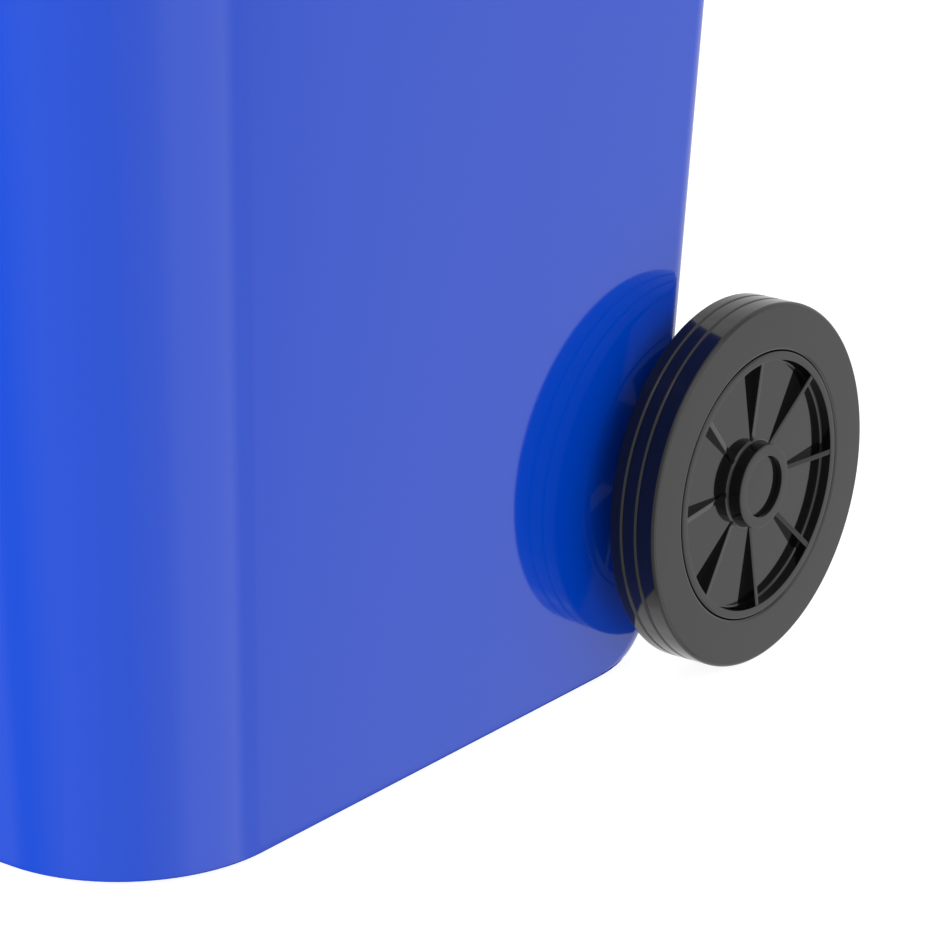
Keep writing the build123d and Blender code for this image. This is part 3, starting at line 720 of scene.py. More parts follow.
@dataclass
class Tub:
    """The tub: tapered walls, rounded heel, rim with a turned-down lip, comb, skid and nest."""

    wall: float = 4.0 * MM
    base_thickness: float = 5.0 * MM
    base_z: float = 4.1 * MM
    half_width_at_axle: float = 230.0 * MM
    side_slope: float = 0.036
    base_length_to_axle: float = 555.0 * MM
    front_slope: float = 0.051
    rear_to_axle: float = 16.3 * MM
    rear_slope: float = 0.067
    front_corner: float = 105.6 * MM
    front_corner_growth: float = 0.0157
    rear_corner: float = 25.0 * MM
    heel_radius: float = 81.0 * MM
    heel_depth: float = 25.0 * MM
    heel_steps: int = 14
    lip_height: float = 30.0 * MM
    lip_thickness: float = 3.5 * MM
    flange: float = 4.0 * MM
    rim_side: float = 14.0 * MM
    rim_front: float = 16.0 * MM
    rim_rear: float = 6.0 * MM
    comb_ribs: int = 9
    comb_pitch: float = 34.0 * MM
    comb_rib: float = 4.0 * MM
    lip_round: float = 1.2 * MM
    rim_round: float = 3.0 * MM
    mouth_round: float = 1.5 * MM
    base_round: float = 0.8 * MM
    skid: tuple[float, float] = (300.0 * MM, 60.0 * MM)
    skid_from_front: float = 75.0 * MM
    skid_corner: float = 12.0 * MM
    nest_back: float = 4.0 * MM
    nest_front: float = 8.0 * MM
    nest_radius: float = 19.0 * MM

    def __post_init__(self) -> None:
        """Read the axle's line and the rim's height from the frame."""
        low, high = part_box("axle")
        self.axle = (low + high) / 2
        self.rim_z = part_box("lid_buffer_left")[0].z - 0.4 * MM

    def plan(self, z: float, inset: float = 0.0) -> Plan:
        """The tub's plan at a height.

        Args:
            z: The height.
            inset: How far the outline is moved in from the outer face.

        Returns:
            The outline, with the heel's elliptical rear corners low down.
        """
        side = self.half_width_at_axle + self.side_slope * (z - self.axle.z) - inset
        front = self.axle.y - self.base_length_to_axle - self.front_slope * (z - self.base_z) + inset
        radius = self.front_corner + self.front_corner_growth * (z - self.base_z) - inset
        corner = self.rear_corner - inset
        heel_z = self.base_z - self.heel_depth + self.heel_radius
        if z >= heel_z:
            rear = self.axle.y - self.rear_to_axle + self.rear_slope * (z - self.axle.z) - inset
            return Plan(side, front, rear, radius, corner)
        wall_y = self.axle.y - self.rear_to_axle + self.rear_slope * (heel_z - self.axle.z)
        centre_y = wall_y - self.heel_radius
        drop = heel_z - z
        rear = centre_y + math.sqrt((self.heel_radius - inset) ** 2 - drop**2)
        flat_end = centre_y + math.sqrt(max((self.heel_radius - self.rear_corner) ** 2 - drop**2, 0.0))
        return Plan(side, front, rear, radius, corner, (rear - flat_end) / corner)

    def heights(self, floor_z: float, inset: float) -> list[float]:
        """The heights that the walls are drawn at.

        Args:
            floor_z: The lowest height.
            inset: How far the wall is moved in from the outer face.

        Returns:
            The heights, from the floor up to the flange's underside.
        """
        heel_z = self.base_z - self.heel_depth + self.heel_radius
        reach = math.asin((heel_z - floor_z) / (self.heel_radius - inset))
        steps = [
            heel_z - (self.heel_radius - inset) * math.sin(reach * (1 - index / self.heel_steps))
            for index in range(self.heel_steps)
        ]
        rise = self.rim_z - self.flange - heel_z
        return steps + [heel_z + rise * part for part in (0.0, 0.25, 0.5, 0.75, 1.0)]

    def build_shell(self) -> bpy.types.Object:
        """The tub's outer and inner walls, joined over the rim.

        Returns:
            The piece.
        """
        mesh = bmesh.new()
        top = self.plan(self.rim_z)
        grow = (self.rim_side, self.rim_front, self.rim_rear, self.rim_side)
        thin = tuple(value - self.lip_thickness for value in grow)
        lip_z = self.rim_z - self.lip_height
        outer = [(self.plan(z), z) for z in self.heights(self.base_z, 0.0)]
        rear_growth = self.rim_rear - self.rim_side
        lip = [
            (top.grown(*thin), self.rim_z - self.flange),
            (top.grown(*thin), lip_z),
            (top.grown(*grow), lip_z),
            (top.grown(*grow), self.rim_z),
        ]
        lip = [
            (Plan(p.side, p.front, p.rear, p.front_radius, p.rear_radius + rear_growth), z) for p, z in lip
        ]
        inner_z = self.heights(self.base_z + self.base_thickness, self.wall)
        inner = [(self.plan(self.rim_z, self.wall), self.rim_z)]
        inner += [(self.plan(z, self.wall), z) for z in reversed(inner_z)]
        loops = loft(mesh, outer + lip + inner, cap_first=True, cap_last=True)
        first_lip = len(outer)
        round_edges(mesh, loops[first_lip + 1] + loops[first_lip + 2], self.lip_round, 2)
        round_edges(mesh, loops[first_lip + 3], self.rim_round, 4)
        round_edges(mesh, loops[first_lip + 4], self.mouth_round, 3)
        round_edges(mesh, loops[0], self.base_round, 2)
        return finish_piece(mesh, "tub_shell", Body.BIN, Slot.BLUE, TUB_NODES)

    def build_comb(self) -> bpy.types.Object:
        """The ribs under the front of the rim.

        Returns:
            The piece.
        """
        mesh = bmesh.new()
        wall_y = self.plan(self.rim_z - 1.5 * self.lip_height).front + 1 * MM
        lip_y = self.plan(self.rim_z).front - self.rim_front + 1.5 * MM
        low, high = self.rim_z - 1.55 * self.lip_height, self.rim_z - 2 * MM
        spots = [(wall_y, high), (lip_y, high), (lip_y, self.rim_z - self.lip_height + MM), (wall_y, low)]
        for index in range(self.comb_ribs):
            middle = (index - (self.comb_ribs - 1) / 2) * self.comb_pitch
            plate(mesh, spots, middle - self.comb_rib / 2, middle + self.comb_rib / 2, 0.6 * MM)
        return finish_piece(mesh, "rim_comb", Body.BIN, Slot.BLUE, ("comb_ribs",))

    def build_skid(self) -> bpy.types.Object:
        """The wear skid under the front of the base.

        Returns:
            The piece.
        """
        mesh = bmesh.new()
        width, length = self.skid
        middle = self.axle.y - self.base_length_to_axle + self.skid_from_front
        low = Vector((-width / 2, middle - length / 2, 0.0))
        high = Vector((width / 2, middle + length / 2, self.base_z + 1 * MM))
        block(mesh, low, high, self.skid_corner, 1 * MM)
        return finish_piece(mesh, "base_skid", Body.BIN, Slot.BLUE, ("front_skid",))

    def build_nest(self) -> bpy.types.Object:
        """The round nest for the tag, with its plug set in flush.

        Returns:
            The piece.
        """
        mesh = bmesh.new()
        low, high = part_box("chip_plug")
        middle = (low + high) / 2
        plug = high.x + 0.2 * MM
        ring = [
            Corner(-self.nest_back, plug),
            Corner(-self.nest_back, self.nest_radius),
            Corner(self.nest_front, self.nest_radius, 1.5 * MM),
            Corner(self.nest_front, plug, 0.5 * MM),
        ]
        turn_profile(mesh, ring, Vector((0, 0, 0)), Side.RIGHT, 48)
        place = Matrix.Translation((0, low.y + 7 * MM, middle.z)) @ Matrix.Rotation(-math.pi / 2, 4, "Z")
        bmesh.ops.transform(mesh, matrix=place, verts=mesh.verts)
        return finish_piece(mesh, "tag_boss", Body.BIN, Slot.BLUE, ("tag_nest",))

    def build(self) -> None:
        """Build every piece of the tub."""
        self.build_shell()
        self.build_comb()
        self.build_skid()
        self.build_nest()


@dataclass
class HingeRow:
    """The lugs behind the rim and the two grips between them."""

    tub: Tub
    lug_radius: float = 18.0 * MM
    lug_thickness: float = 10.0 * MM
    starts: tuple[float, float, float] = (34.0 * MM, 86.0 * MM, 206.0 * MM)
    grip_radius: float = 14.0 * MM
    grip_waist: float = 12.8 * MM
    grip_waves: int = 5
    grip_plain_end: float = 14.0 * MM

    def __post_init__(self) -> None:
        """Read the hinge line from the frame."""
        self.hinge = middle_line(*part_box("hinge_pin_left"))

    def build_lugs(self) -> bpy.types.Object:
        """The six lugs that carry the pins and the grips.

        Returns:
            The piece.
        """
        mesh = bmesh.new()
        wall_y = self.tub.plan(self.tub.rim_z).rear - 2 * MM
        neck = [(wall_y, self.tub.rim_z - 15 * MM), (wall_y, self.tub.rim_z - 42 * MM)]
        for side in Side:
            for start in self.starts:
                span = side.span(start, start + self.lug_thickness)
                hull_plate(mesh, self.hinge, self.lug_radius, neck, *span, 1.2 * MM)
        return finish_piece(mesh, "lug_row", Body.BIN, Slot.BLUE, ("hinge_lugs",))

    def build_grip(self, side: Side) -> bpy.types.Object:
        """One grip, with shallow finger waves along it.

        Args:
            side: The side of the bin that it is on.

        Returns:
            The piece.
        """
        mesh = bmesh.new()
        start, end = self.starts[1] + self.lug_thickness / 2, self.starts[2] + self.lug_thickness / 2
        first, last = start + self.grip_plain_end, end - self.grip_plain_end
        pitch = (last - first) / (2 * self.grip_waves)
        outline = [Corner(start, 0.0), Corner(start, self.grip_radius)]
        for index in range(2 * self.grip_waves + 1):
            waist = self.grip_waist if index % 2 else self.grip_radius
            outline.append(Corner(first + index * pitch, waist, pitch * 0.45, 4))
        outline += [Corner(end, self.grip_radius), Corner(end, 0.0)]
        turn_profile(mesh, outline, self.hinge, side, 48)
        return finish_piece(mesh, f"grip_{side.label}", Body.BIN, Slot.BLUE, ("grips",))

    def build(self) -> None:
        """Build the lugs and both grips."""
        self.build_lugs()
        for side in Side:
            self.build_grip(side)


@dataclass
class AxleMount:
    """The brackets behind the rear wall that carry the axle."""

    tub: Tub
    radius: float = 24.0 * MM
    thickness: float = 10.0 * MM
    places: tuple[float, float, float] = (60.0 * MM, 126.0 * MM, 192.0 * MM)

    def build(self) -> bpy.types.Object:
        """The six brackets as one piece.

        Returns:
            The piece.
        """
        mesh = bmesh.new()
        axle = self.tub.axle
        wall_y = axle.y - self.tub.rear_to_axle - 4 * MM
        neck = [(wall_y, axle.z + 2.4 * self.radius), (wall_y - 2 * MM, axle.z - 1.7 * self.radius)]
        for side in Side:
            for place in self.places:
                middle = side.value * place
                start, end = middle - self.thickness / 2, middle + self.thickness / 2
                hull_plate(mesh, axle, self.radius, neck, start, end, 1.0 * MM)
        return finish_piece(mesh, "bracket_row", Body.BIN, Slot.BLUE, ("axle_brackets",))


@dataclass
class Lid:
    """The lid: a crowned shell with a skirt, side grips and two hinge knuckles."""

    tub: Tub
    hinges: HingeRow
    thickness: float = 3.0 * MM
    gap: float = 2.2 * MM
    crown_inset: float = 95.0 * MM
    crown_steps: int = 9
    crown_front_radius: float = 60.0 * MM
    crown_rear_radius: float = 40.0 * MM
    rear_radius: float = 30.0 * MM
    rear_to_axle: float = 60.0 * MM
    edge_height: float = 32.0 * MM
    rear_cut_rise: float = 1.5 * MM
    panel_inset: float = 22.0 * MM
    panel_drop: float = 2.5 * MM
    grip_length: float = 120.0 * MM
    grip_reach: float = 7.0 * MM
    grip_from_front: float = 230.0 * MM
    knuckle_radius: float = 16.5 * MM
    knuckle_bore: float = 7.05 * MM
    knuckle_gap: float = 0.5 * MM

    def __post_init__(self) -> None:
        """Read the lid's heights from the frame."""
        self.skirt_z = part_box("lid_front_skirt")[0].z
        self.edge_z = self.skirt_z + self.edge_height
        self.crown_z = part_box("lid_panel")[1].z

    def plan(self, part: float, inset: float) -> Plan:
        """The lid's outline part of the way up the crown.

        Args:
            part: 0 at the edge, 1 at the crown.
            inset: How far it is moved in from the outer face.

        Returns:
            The outline.
        """
        top = self.tub.plan(self.tub.rim_z)
        reach = self.gap + self.thickness - inset
        run = part * self.crown_inset
        edge_radius = top.front_radius + self.tub.rim_side + reach
        front_radius = edge_radius + part * (self.crown_front_radius - edge_radius)
        rear_start = self.rear_radius - inset
        return Plan(
            top.side + self.tub.rim_side + reach - run,
            top.front - self.tub.rim_front - reach + run,
            self.tub.axle.y + self.rear_to_axle - inset - run,
            front_radius,
            rear_start + part * (self.crown_rear_radius - rear_start),
        )

    def crown(self, inset: float) -> list[tuple[Plan, float]]:
        """The outlines from the edge to the crown, on a rounded slope.

        Args:
            inset: How far they are moved in from the outer face.

        Returns:
            Each outline and its height, from the edge up.
        """
        rise = self.crown_z - self.edge_z
        parts = [index / self.crown_steps for index in range(self.crown_steps + 1)]
        return [
            (self.plan(part, inset), self.edge_z - inset + rise * (1 - (1 - part) ** 2)) for part in parts
        ]

    def build_shell(self) -> bpy.types.Object:
        """The lid's shell, cut away behind over the lugs.

        Returns:
            The piece.
        """
        mesh = bmesh.new()
        inner = list(reversed(self.crown(self.thickness)))
        skirt = [(self.plan(0.0, self.thickness), self.skirt_z), (self.plan(0.0, 0.0), self.skirt_z)]
        outer = self.crown(0.0)
        loops = loft(mesh, inner + skirt + outer, cap_first=True, cap_last=True)
        first = len(inner)
        caps = [face for face in mesh.faces if len(face.verts) > 8]
        top = [face for face in caps if face.calc_center_median().z > self.crown_z - MM]
        round_edges(mesh, loops[first] + loops[first + 1], 1.0 * MM, 2)
        round_edges(mesh, loops[first + 2], 4.0 * MM, 4)
        panel = [face for face in top if face.is_valid]
        bmesh.ops.inset_region(mesh, faces=panel, thickness=self.panel_inset, use_even_offset=True)
        bmesh.ops.inset_region(
            mesh, faces=panel, thickness=5 * MM, depth=-self.panel_drop, use_even_offset=True
        )
        shell = finish_piece(mesh, "lid_shell", Body.LID, Slot.BLUE, LID_NODES)
        self.cut_rear(shell)
        return shell

    def cut_rear(self, shell: bpy.types.Object) -> None:
        """Cut the rear of the skirt away where the lugs stand.

        Args:
            shell: The lid's shell.
        """
        mesh = bmesh.new()
        reach = self.hinges.starts[2] + self.hinges.lug_thickness + 12 * MM
        rear = self.tub.axle.y + self.rear_to_axle
        low = Vector((-reach, rear - 12 * MM, self.skirt_z - 5 * MM))
        high = Vector((reach, rear + 12 * MM, self.tub.rim_z + self.rear_cut_rise))
        block(mesh, low, high, 0.5 * MM, 0.2 * MM)
        cutter = mesh_object(mesh, "rear_cut")
        shell.modifiers.remove(shell.modifiers[FLAT_FACES])
        cut = shell.modifiers.new("rear_cut", "BOOLEAN")
        cut.object = cutter
        cut.solver = "EXACT"
        result = bpy.data.meshes.new_from_object(shell.evaluated_get(bpy.context.evaluated_depsgraph_get()))
        shell.modifiers.remove(cut)
        shell.data = result
        shade_piece(shell)
        bpy.data.objects.remove(cutter)

    def build_grips(self) -> bpy.types.Object:
        """The two ledges that a hand lifts the lid by.

        Returns:
            The piece.
        """
        mesh = bmesh.new()
        outline = self.plan(0.0, 0.0)
        middle = self.tub.plan(self.tub.rim_z).front + self.grip_from_front
        half = self.grip_length / 2
        for side in Side:
            ends = side.span(outline.side - 2 * MM, outline.side + self.grip_reach)
            low = Vector((ends[0], middle - half, self.skirt_z))
            high = Vector((ends[1], middle + half, self.skirt_z + 4 * MM))
            block(mesh, low, high, 4 * MM, 1 * MM)
        return finish_piece(mesh, "lid_grips", Body.LID, Slot.BLUE, ("lid_side_skirts",))

    def build_knuckles(self) -> bpy.types.Object:
        """The two knuckles round the hinge pins, with their arms.

        Returns:
            The piece.
        """
        mesh = bmesh.new()
        hinge = self.hinges.hinge
        start = self.hinges.starts[0] + self.hinges.lug_thickness + self.knuckle_gap
        end = self.hinges.starts[1] - self.knuckle_gap
        rear = self.tub.axle.y + self.rear_to_axle - 1.5 * MM
        arm = [
            (rear, self.tub.rim_z + 3.5 * MM),
            (rear, self.edge_z + 0.8 * MM),
            (hinge.y - 4.5 * MM, hinge.z + 15.6 * MM),
            (hinge.y - 9 * MM, hinge.z + 4 * MM),
            (hinge.y - 14.8 * MM, hinge.z - 5 * MM),
        ]
        for side in Side:
            ring = [
                Corner(start, self.knuckle_bore),
                Corner(start, self.knuckle_radius, 1 * MM, 2),
                Corner(end, self.knuckle_radius, 1 * MM, 2),
                Corner(end, self.knuckle_bore),
            ]
            turn_profile(mesh, ring, hinge, side, 64)
        for side in Side:
            plate(mesh, arm, *side.span(start + 1.5 * MM, end - 1.5 * MM), 0.8 * MM)
        return finish_piece(mesh, "knuckle_row", Body.LID, Slot.BLUE, ("lid_knuckles",))

    def build(self) -> None:
        """Build every piece of the lid."""
        self.build_shell()
        self.build_grips()
        self.build_knuckles()


@dataclass
class Wheel:
    """One wheel: moulded core, rubber tyre and hub cap."""

    side: Side
    barrel_radius: float = 85.9 * MM
    seat_radius: float = 92.0 * MM
    web_depth: float = 8.0 * MM
    web_thickness: float = 6.0 * MM
    ribs: int = 8
    rib_thickness: float = 3.8 * MM
    hub_radius: float = 29.0 * MM
    bush_radius: float = 13.5 * MM
    pocket_radius: float = 18.5 * MM
    cap_radius: float = 20.9 * MM
    cap_recess: float = 3.75 * MM
    cap_thickness: float = 3.25 * MM
    grooves: tuple[float, float] = (14.2 * MM, 25.4 * MM)
    groove_width: float = 2.6 * MM
    groove_depth: float = 1.1 * MM
    shoulder: float = 2.6 * MM
    bush_length: float = 27.0 * MM
    cap_clearance: float = 0.1 * MM
    steps: int = 160
    cap_steps: int = 96

    def __post_init__(self) -> None:
        """Read the tyre's and the hub's extent from the frame."""
        low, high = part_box(f"tyre_{self.side.label}")
        core_low, core_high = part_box(f"wheel_core_{self.side.label}")
        self.centre = middle_line(low, high)
        self.radius = (high.z - low.z) / 2
        self.inner_x, self.face_x = sorted((abs(low.x), abs(high.x)))
        self.hub_in, self.hub_out = sorted((abs(core_low.x), abs(core_high.x)))

    def build_tyre(self) -> bpy.types.Object:
        """The tyre, with rounded shoulders and two grooves round the tread.

        Returns:
            The piece.
        """
        mesh = bmesh.new()
        tread = []
        for groove in reversed(self.grooves):
            middle, half = self.face_x - groove, self.groove_width / 2
            tread += [
                Corner(middle - half, self.radius, 0.5 * MM, 3),
                Corner(middle, self.radius - self.groove_depth, 0.5 * MM, 3),
                Corner(middle + half, self.radius, 0.5 * MM, 3),
            ]
        outline = [
            Corner(self.inner_x, self.seat_radius, 2.6 * MM, 5),
            Corner(self.inner_x, self.radius, self.shoulder, 6),
            *tread,
            Corner(self.face_x, self.radius, self.shoulder, 6),
            Corner(self.face_x, self.seat_radius, 2.6 * MM, 5),
        ]
        turn_profile(mesh, outline, self.centre, self.side, self.steps)
        name = f"tyre_rubber_{self.side.label}"
        return finish_piece(mesh, name, Body.wheel(self.side), Slot.TYRE, (f"tyre_{self.side.label}",))

    def core_outline(self) -> list[Corner]:
        """The section of the hub, web and barrel.

        Returns:
            The corners, in order round the section.
        """
        web_out = self.face_x - self.web_depth
        web_in = web_out - self.web_thickness
        ledge = self.hub_out - self.cap_recess - self.cap_thickness
        floor = self.hub_in + self.bush_length
        return [
            Corner(self.hub_in, self.bush_radius),
            Corner(floor, self.bush_radius),
            Corner(floor, self.pocket_radius),
            Corner(ledge, self.pocket_radius),
            Corner(ledge, self.cap_radius),
            Corner(self.hub_out, self.cap_radius, 0.7 * MM, 2),
            Corner(self.hub_out, self.hub_radius, 1.0 * MM, 3),
            Corner(web_out, self.hub_radius, 2.4 * MM, 5),
            Corner(web_out, self.barrel_radius, 2.0 * MM, 5),
            Corner(self.face_x, self.barrel_radius, 0.6 * MM, 2),
            Corner(self.face_x, self.seat_radius, 1.4 * MM, 4),
            Corner(self.inner_x, self.seat_radius, 1.4 * MM, 4),
            Corner(self.inner_x, self.barrel_radius, 0.6 * MM, 2),
            Corner(web_in, self.barrel_radius, 2.0 * MM, 5),
            Corner(web_in, self.hub_radius, 2.4 * MM, 5),
            Corner(self.hub_in, self.hub_radius, 1.0 * MM, 3),
        ]

    def add_rib(self, mesh: BMesh, index: int) -> None:
        """Add one pair of gussets, on the web's outer and inner face.

        Args:
            mesh: The bmesh to build in.
            index: Which of the ribs round the wheel it is.
        """
        web_out = self.face_x - self.web_depth
        web_in = web_out - self.web_thickness
        inside, outside = self.hub_radius - 1.5 * MM, self.barrel_radius + 1.5 * MM
        spots = [
            (web_in - 0.2 * MM, inside),
            (web_out + 0.2 * MM, inside),
            (self.face_x - 0.5 * MM, self.barrel_radius),
            (self.face_x - 1.0 * MM, outside),
            (self.inner_x + 1.0 * MM, outside),
            (self.inner_x + 0.5 * MM, self.barrel_radius),
        ]
        known = set(mesh.verts)
        half = self.rib_thickness / 2
        section = [mesh.verts.new((self.side.value * x, -half, radius)) for x, radius in spots]
        face = mesh.faces.new(section)
        made = bmesh.ops.extrude_face_region(mesh, geom=[face], use_keep_orig=True)["geom"]
        moved = [item for item in made if isinstance(item, BMVert)]
        bmesh.ops.translate(mesh, verts=moved, vec=(0, self.rib_thickness, 0))
        new = [vert for vert in mesh.verts if vert not in known]
        faces = list({f for v in new for f in v.link_faces})
        bmesh.ops.recalc_face_normals(mesh, faces=faces)
        crests = [
            edge
            for edge in {e for v in new for e in v.link_edges}
            if abs(edge.verts[0].co.y - edge.verts[1].co.y) < half
            and abs(edge.verts[0].co.z - edge.verts[1].co.z) > 20 * MM
        ]
        round_edges(mesh, crests, 0.5 * MM, 2)
        new = [vert for vert in mesh.verts if vert not in known]
        turn = Matrix.Translation(self.centre) @ Matrix.Rotation(2 * math.pi * index / self.ribs, 4, "X")
        bmesh.ops.transform(mesh, matrix=turn, verts=new)

    def build_core(self) -> bpy.types.Object:
        """The moulded core with its ribs.

        Returns:
            The piece.
        """
        mesh = bmesh.new()
        turn_profile(mesh, self.core_outline(), self.centre, self.side, self.steps)
        for index in range(self.ribs):
            self.add_rib(mesh, index)
        name = f"wheel_moulding_{self.side.label}"
        return finish_piece(mesh, name, Body.wheel(self.side), Slot.WHEEL, (f"wheel_core_{self.side.label}",))

    def build_cap(self) -> bpy.types.Object:
        """The cap, set back in the hub's mouth.

        Returns:
            The piece.
        """
        mesh = bmesh.new()
        outer = self.hub_out - self.cap_recess
        radius = self.cap_radius - self.cap_clearance
        outline = [
            Corner(outer - self.cap_thickness, 0.0),
            Corner(outer - self.cap_thickness, radius, 0.3 * MM, 1),
            Corner(outer, radius, 0.6 * MM, 3),
            Corner(outer, 0.0),
        ]
        turn_profile(mesh, outline, self.centre, self.side, self.cap_steps)
        name = f"hub_cover_{self.side.label}"
        return finish_piece(mesh, name, Body.wheel(self.side), Slot.WHEEL, (f"hub_cap_{self.side.label}",))

    def build(self) -> None:
        """Build every piece of the wheel."""
        self.build_core()
        self.build_tyre()
        self.build_cap()


def dress_kept_nodes() -> None:
    """Dress the CAD nodes that stay as they are: axle, pins, plugs, bushes, rings and buffers."""
    slots = {row["node"]: Slot(row["material_slot"]) for row in frame["record"]["subparts"]}
    for name, node in frame["nodes"].items():
        if not node.hide_render:
            WARDROBE.dress(node, slots[name])
            LOG.info("%s: kept, dressed as %s", name, slots[name].value)


@dataclass(frozen=True)
class Softbox:
    """A square studio light, aimed at a point."""

    name: str
    place: tuple[float, float, float]
    aim: tuple[float, float, float]
    size: float
    power: float

    def build(self) -> bpy.types.Object:
        """The light, which the camera doesn't see.

        Returns:
            The light object.
        """
        data = bpy.data.lights.new(self.name, "AREA")
        data.shape = "SQUARE"
        data.size = self.size
        data.energy = self.power
        light = link_object(self.name, data)
        light.location = self.place
        towards = Vector(self.aim) - Vector(self.place)
        light.rotation_euler = towards.to_track_quat("-Z", "Y").to_euler()
        light.visible_camera = False
        return light


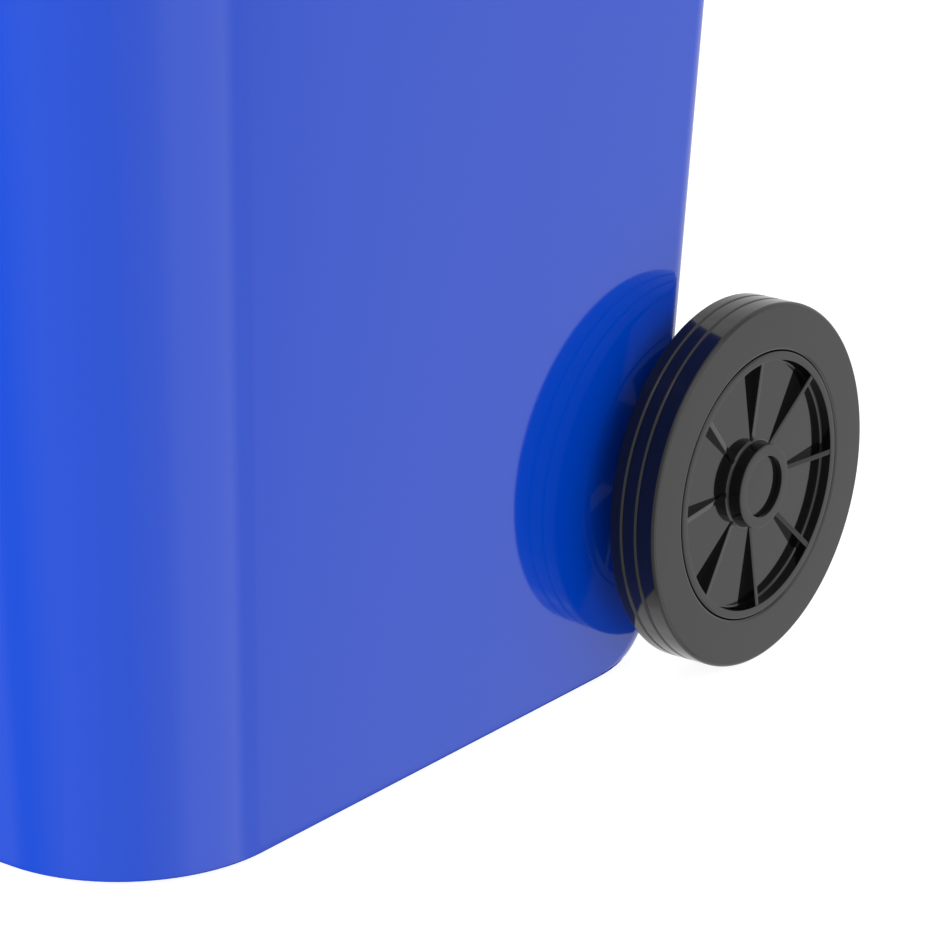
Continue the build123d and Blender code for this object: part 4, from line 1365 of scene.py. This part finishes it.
@dataclass
class Studio:
    """The pale floor, the white surround, the reflection drum, the lights and the camera.

    The drum_tones are listed one by one, each a direction round the bin in degrees (0 is the
    front, 90 the right) and a brightness. The close steps near 140 degrees are what the
    camera sees mirrored where the front corner meets the side wall.
    """

    azimuth: float = 37.45
    elevation: float = 19.68
    lens: float = 160.1
    distance: float = 2.7875
    slide: float = -0.1961
    lift: float = 0.0119
    floor_size: float = 60.0
    floor_tone: float = 0.3
    floor_glow: float = 0.92
    surround: float = 1.0
    drum_radius: float = 20.0
    drum_span: tuple[float, float] = (-30.0, 18.0)
    drum_segments: int = 96
    drum_brightness: float = 2.0
    drum_tones: tuple[tuple[float, float], ...] = (
        (-180.0, 0.9),
        (-70.0, 0.8),
        (-46.0, 0.62),
        (-34.0, 0.36),
        (-26.0, 0.38),
        (-13.0, 0.62),
        (0.0, 0.82),
        (46.0, 0.82),
        (60.0, 1.0),
        (72.0, 1.15),
        (84.0, 1.55),
        (106.0, 1.6),
        (118.0, 1.72),
        (126.0, 0.98),
        (139.0, 0.84),
        (139.7, 0.93),
        (140.8, 1.04),
        (142.2, 1.07),
        (152.0, 1.1),
        (180.0, 1.0),
    )

    def build_floor(self) -> bpy.types.Object:
        """A plain pale floor with an even glow, which reflections don't show.

        Returns:
            The floor.
        """
        mesh = bmesh.new()
        bmesh.ops.create_grid(mesh, x_segments=1, y_segments=1, size=self.floor_size / 2)
        floor = mesh_object(mesh, "floor")
        made = bpy.data.materials.new("pale_floor")
        made.use_nodes = True
        shader = made.node_tree.nodes["Principled BSDF"]
        shader.inputs["Base Color"].default_value = (self.floor_tone, self.floor_tone, self.floor_tone, 1.0)
        shader.inputs["Roughness"].default_value = 0.7
        shader.inputs["Specular IOR Level"].default_value = 0.1
        shader.inputs["Emission Color"].default_value = (1.0, 1.0, 1.0, 1.0)
        shader.inputs["Emission Strength"].default_value = self.floor_glow
        floor.data.materials.append(made)
        floor.visible_glossy = False
        return floor

    def build_drum(self) -> bpy.types.Object:
        """A far drum of light and dark bands that only glossy reflections show.

        Returns:
            The drum.
        """
        mesh = bmesh.new()
        bottom, top = self.drum_span
        place = Matrix.Translation((0, 0, (bottom + top) / 2))
        bmesh.ops.create_cone(
            mesh,
            cap_ends=False,
            segments=self.drum_segments,
            radius1=self.drum_radius,
            radius2=self.drum_radius,
            depth=top - bottom,
            matrix=place,
        )
        drum = mesh_object(mesh, "reflection_drum")
        for kind in ("camera", "diffuse", "transmission", "volume_scatter", "shadow"):
            setattr(drum, f"visible_{kind}", False)
        drum.data.materials.append(self.drum_material())
        return drum

    def drum_material(self) -> bpy.types.Material:
        """The drum's glow, which follows the direction from the middle.

        Returns:
            A material whose glow at each direction is set by drum_tones.
        """
        made = bpy.data.materials.new("drum_tones")
        made.use_nodes = True
        tree = made.node_tree
        shader = tree.nodes["Principled BSDF"]
        shader.inputs["Base Color"].default_value = (0.0, 0.0, 0.0, 1.0)
        shader.inputs["Specular IOR Level"].default_value = 0.0
        shader.inputs["Emission Strength"].default_value = self.drum_brightness
        where = tree.nodes.new("ShaderNodeTexCoord")
        parts = tree.nodes.new("ShaderNodeSeparateXYZ")
        tree.links.new(where.outputs["Object"], parts.inputs["Vector"])
        ahead = math_node(tree, "MULTIPLY", parts.outputs["Y"], -1.0)
        turn = math_node(tree, "ARCTAN2", parts.outputs["X"], ahead.outputs[0])
        share = math_node(tree, "MULTIPLY_ADD", turn.outputs[0], 0.5 / math.pi)
        share.inputs[2].default_value = 0.5
        ramp = tree.nodes.new("ShaderNodeValToRGB")
        tree.links.new(share.outputs[0], ramp.inputs["Fac"])
        stops = ramp.color_ramp.elements
        while len(stops) < len(self.drum_tones):
            stops.new(0.5)
        for stop, (azimuth, tone) in zip(stops, self.drum_tones):
            stop.position = azimuth / 360.0 + 0.5
            share_of_full = tone / self.drum_brightness
            stop.color = (share_of_full, share_of_full, share_of_full, 1.0)
        tree.links.new(ramp.outputs["Color"], shader.inputs["Emission Color"])
        return made

    def build_world(self) -> None:
        """An even white surround."""
        world = bpy.data.worlds.new("surround")
        bpy.context.scene.world = world
        world.use_nodes = True
        background = world.node_tree.nodes["Background"]
        background.inputs["Color"].default_value = (1.0, 1.0, 1.0, 1.0)
        background.inputs["Strength"].default_value = self.surround

    def build_camera(self) -> bpy.types.Object:
        """The camera, aimed past the lower right rear of the bin.

        Returns:
            The camera object.
        """
        low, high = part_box("tyre_right")
        target = middle_line(low, high)
        target.x = high.x
        around, above = math.radians(self.azimuth), math.radians(self.elevation)
        right = Vector((math.cos(around), math.sin(around), 0.0))
        level = math.cos(above)
        back = Vector((math.sin(around) * level, -math.cos(around) * level, math.sin(above)))
        up = back.cross(right)
        data = bpy.data.cameras.new("camera")
        data.lens = self.lens
        data.sensor_width = 36.0
        camera = link_object("camera", data)
        camera.location = target + back * self.distance + right * self.slide + up * self.lift
        camera.rotation_mode = "QUATERNION"
        camera.rotation_quaternion = Matrix((right, up, back)).transposed().to_quaternion()
        bpy.context.scene.camera = camera
        return camera

    def build(self) -> None:
        """Build the whole studio."""
        self.build_camera()
        self.build_floor()
        self.build_drum()
        self.build_world()
        Softbox("front_light", (-1.6, -3.2, 2.6), (0, 0, 0.5), 2.0, 105.0).build()
        Softbox("side_light", (3.4, -0.4, 2.8), (0, 0, 0.4), 2.0, 5.0).build()
        bpy.context.scene.view_settings.view_transform = "Standard"


def main() -> None:
    """Build the bin's sub-assemblies and the studio, in order."""
    logging.basicConfig(level=logging.INFO, format="%(name)s: %(message)s")
    Studio().build()
    tub = Tub()
    hinges = HingeRow(tub)
    tub.build()
    hinges.build()
    AxleMount(tub).build()
    Lid(tub, hinges).build()
    for side in Side:
        Wheel(side).build()
    dress_kept_nodes()


if __name__ == "__main__":
    main()
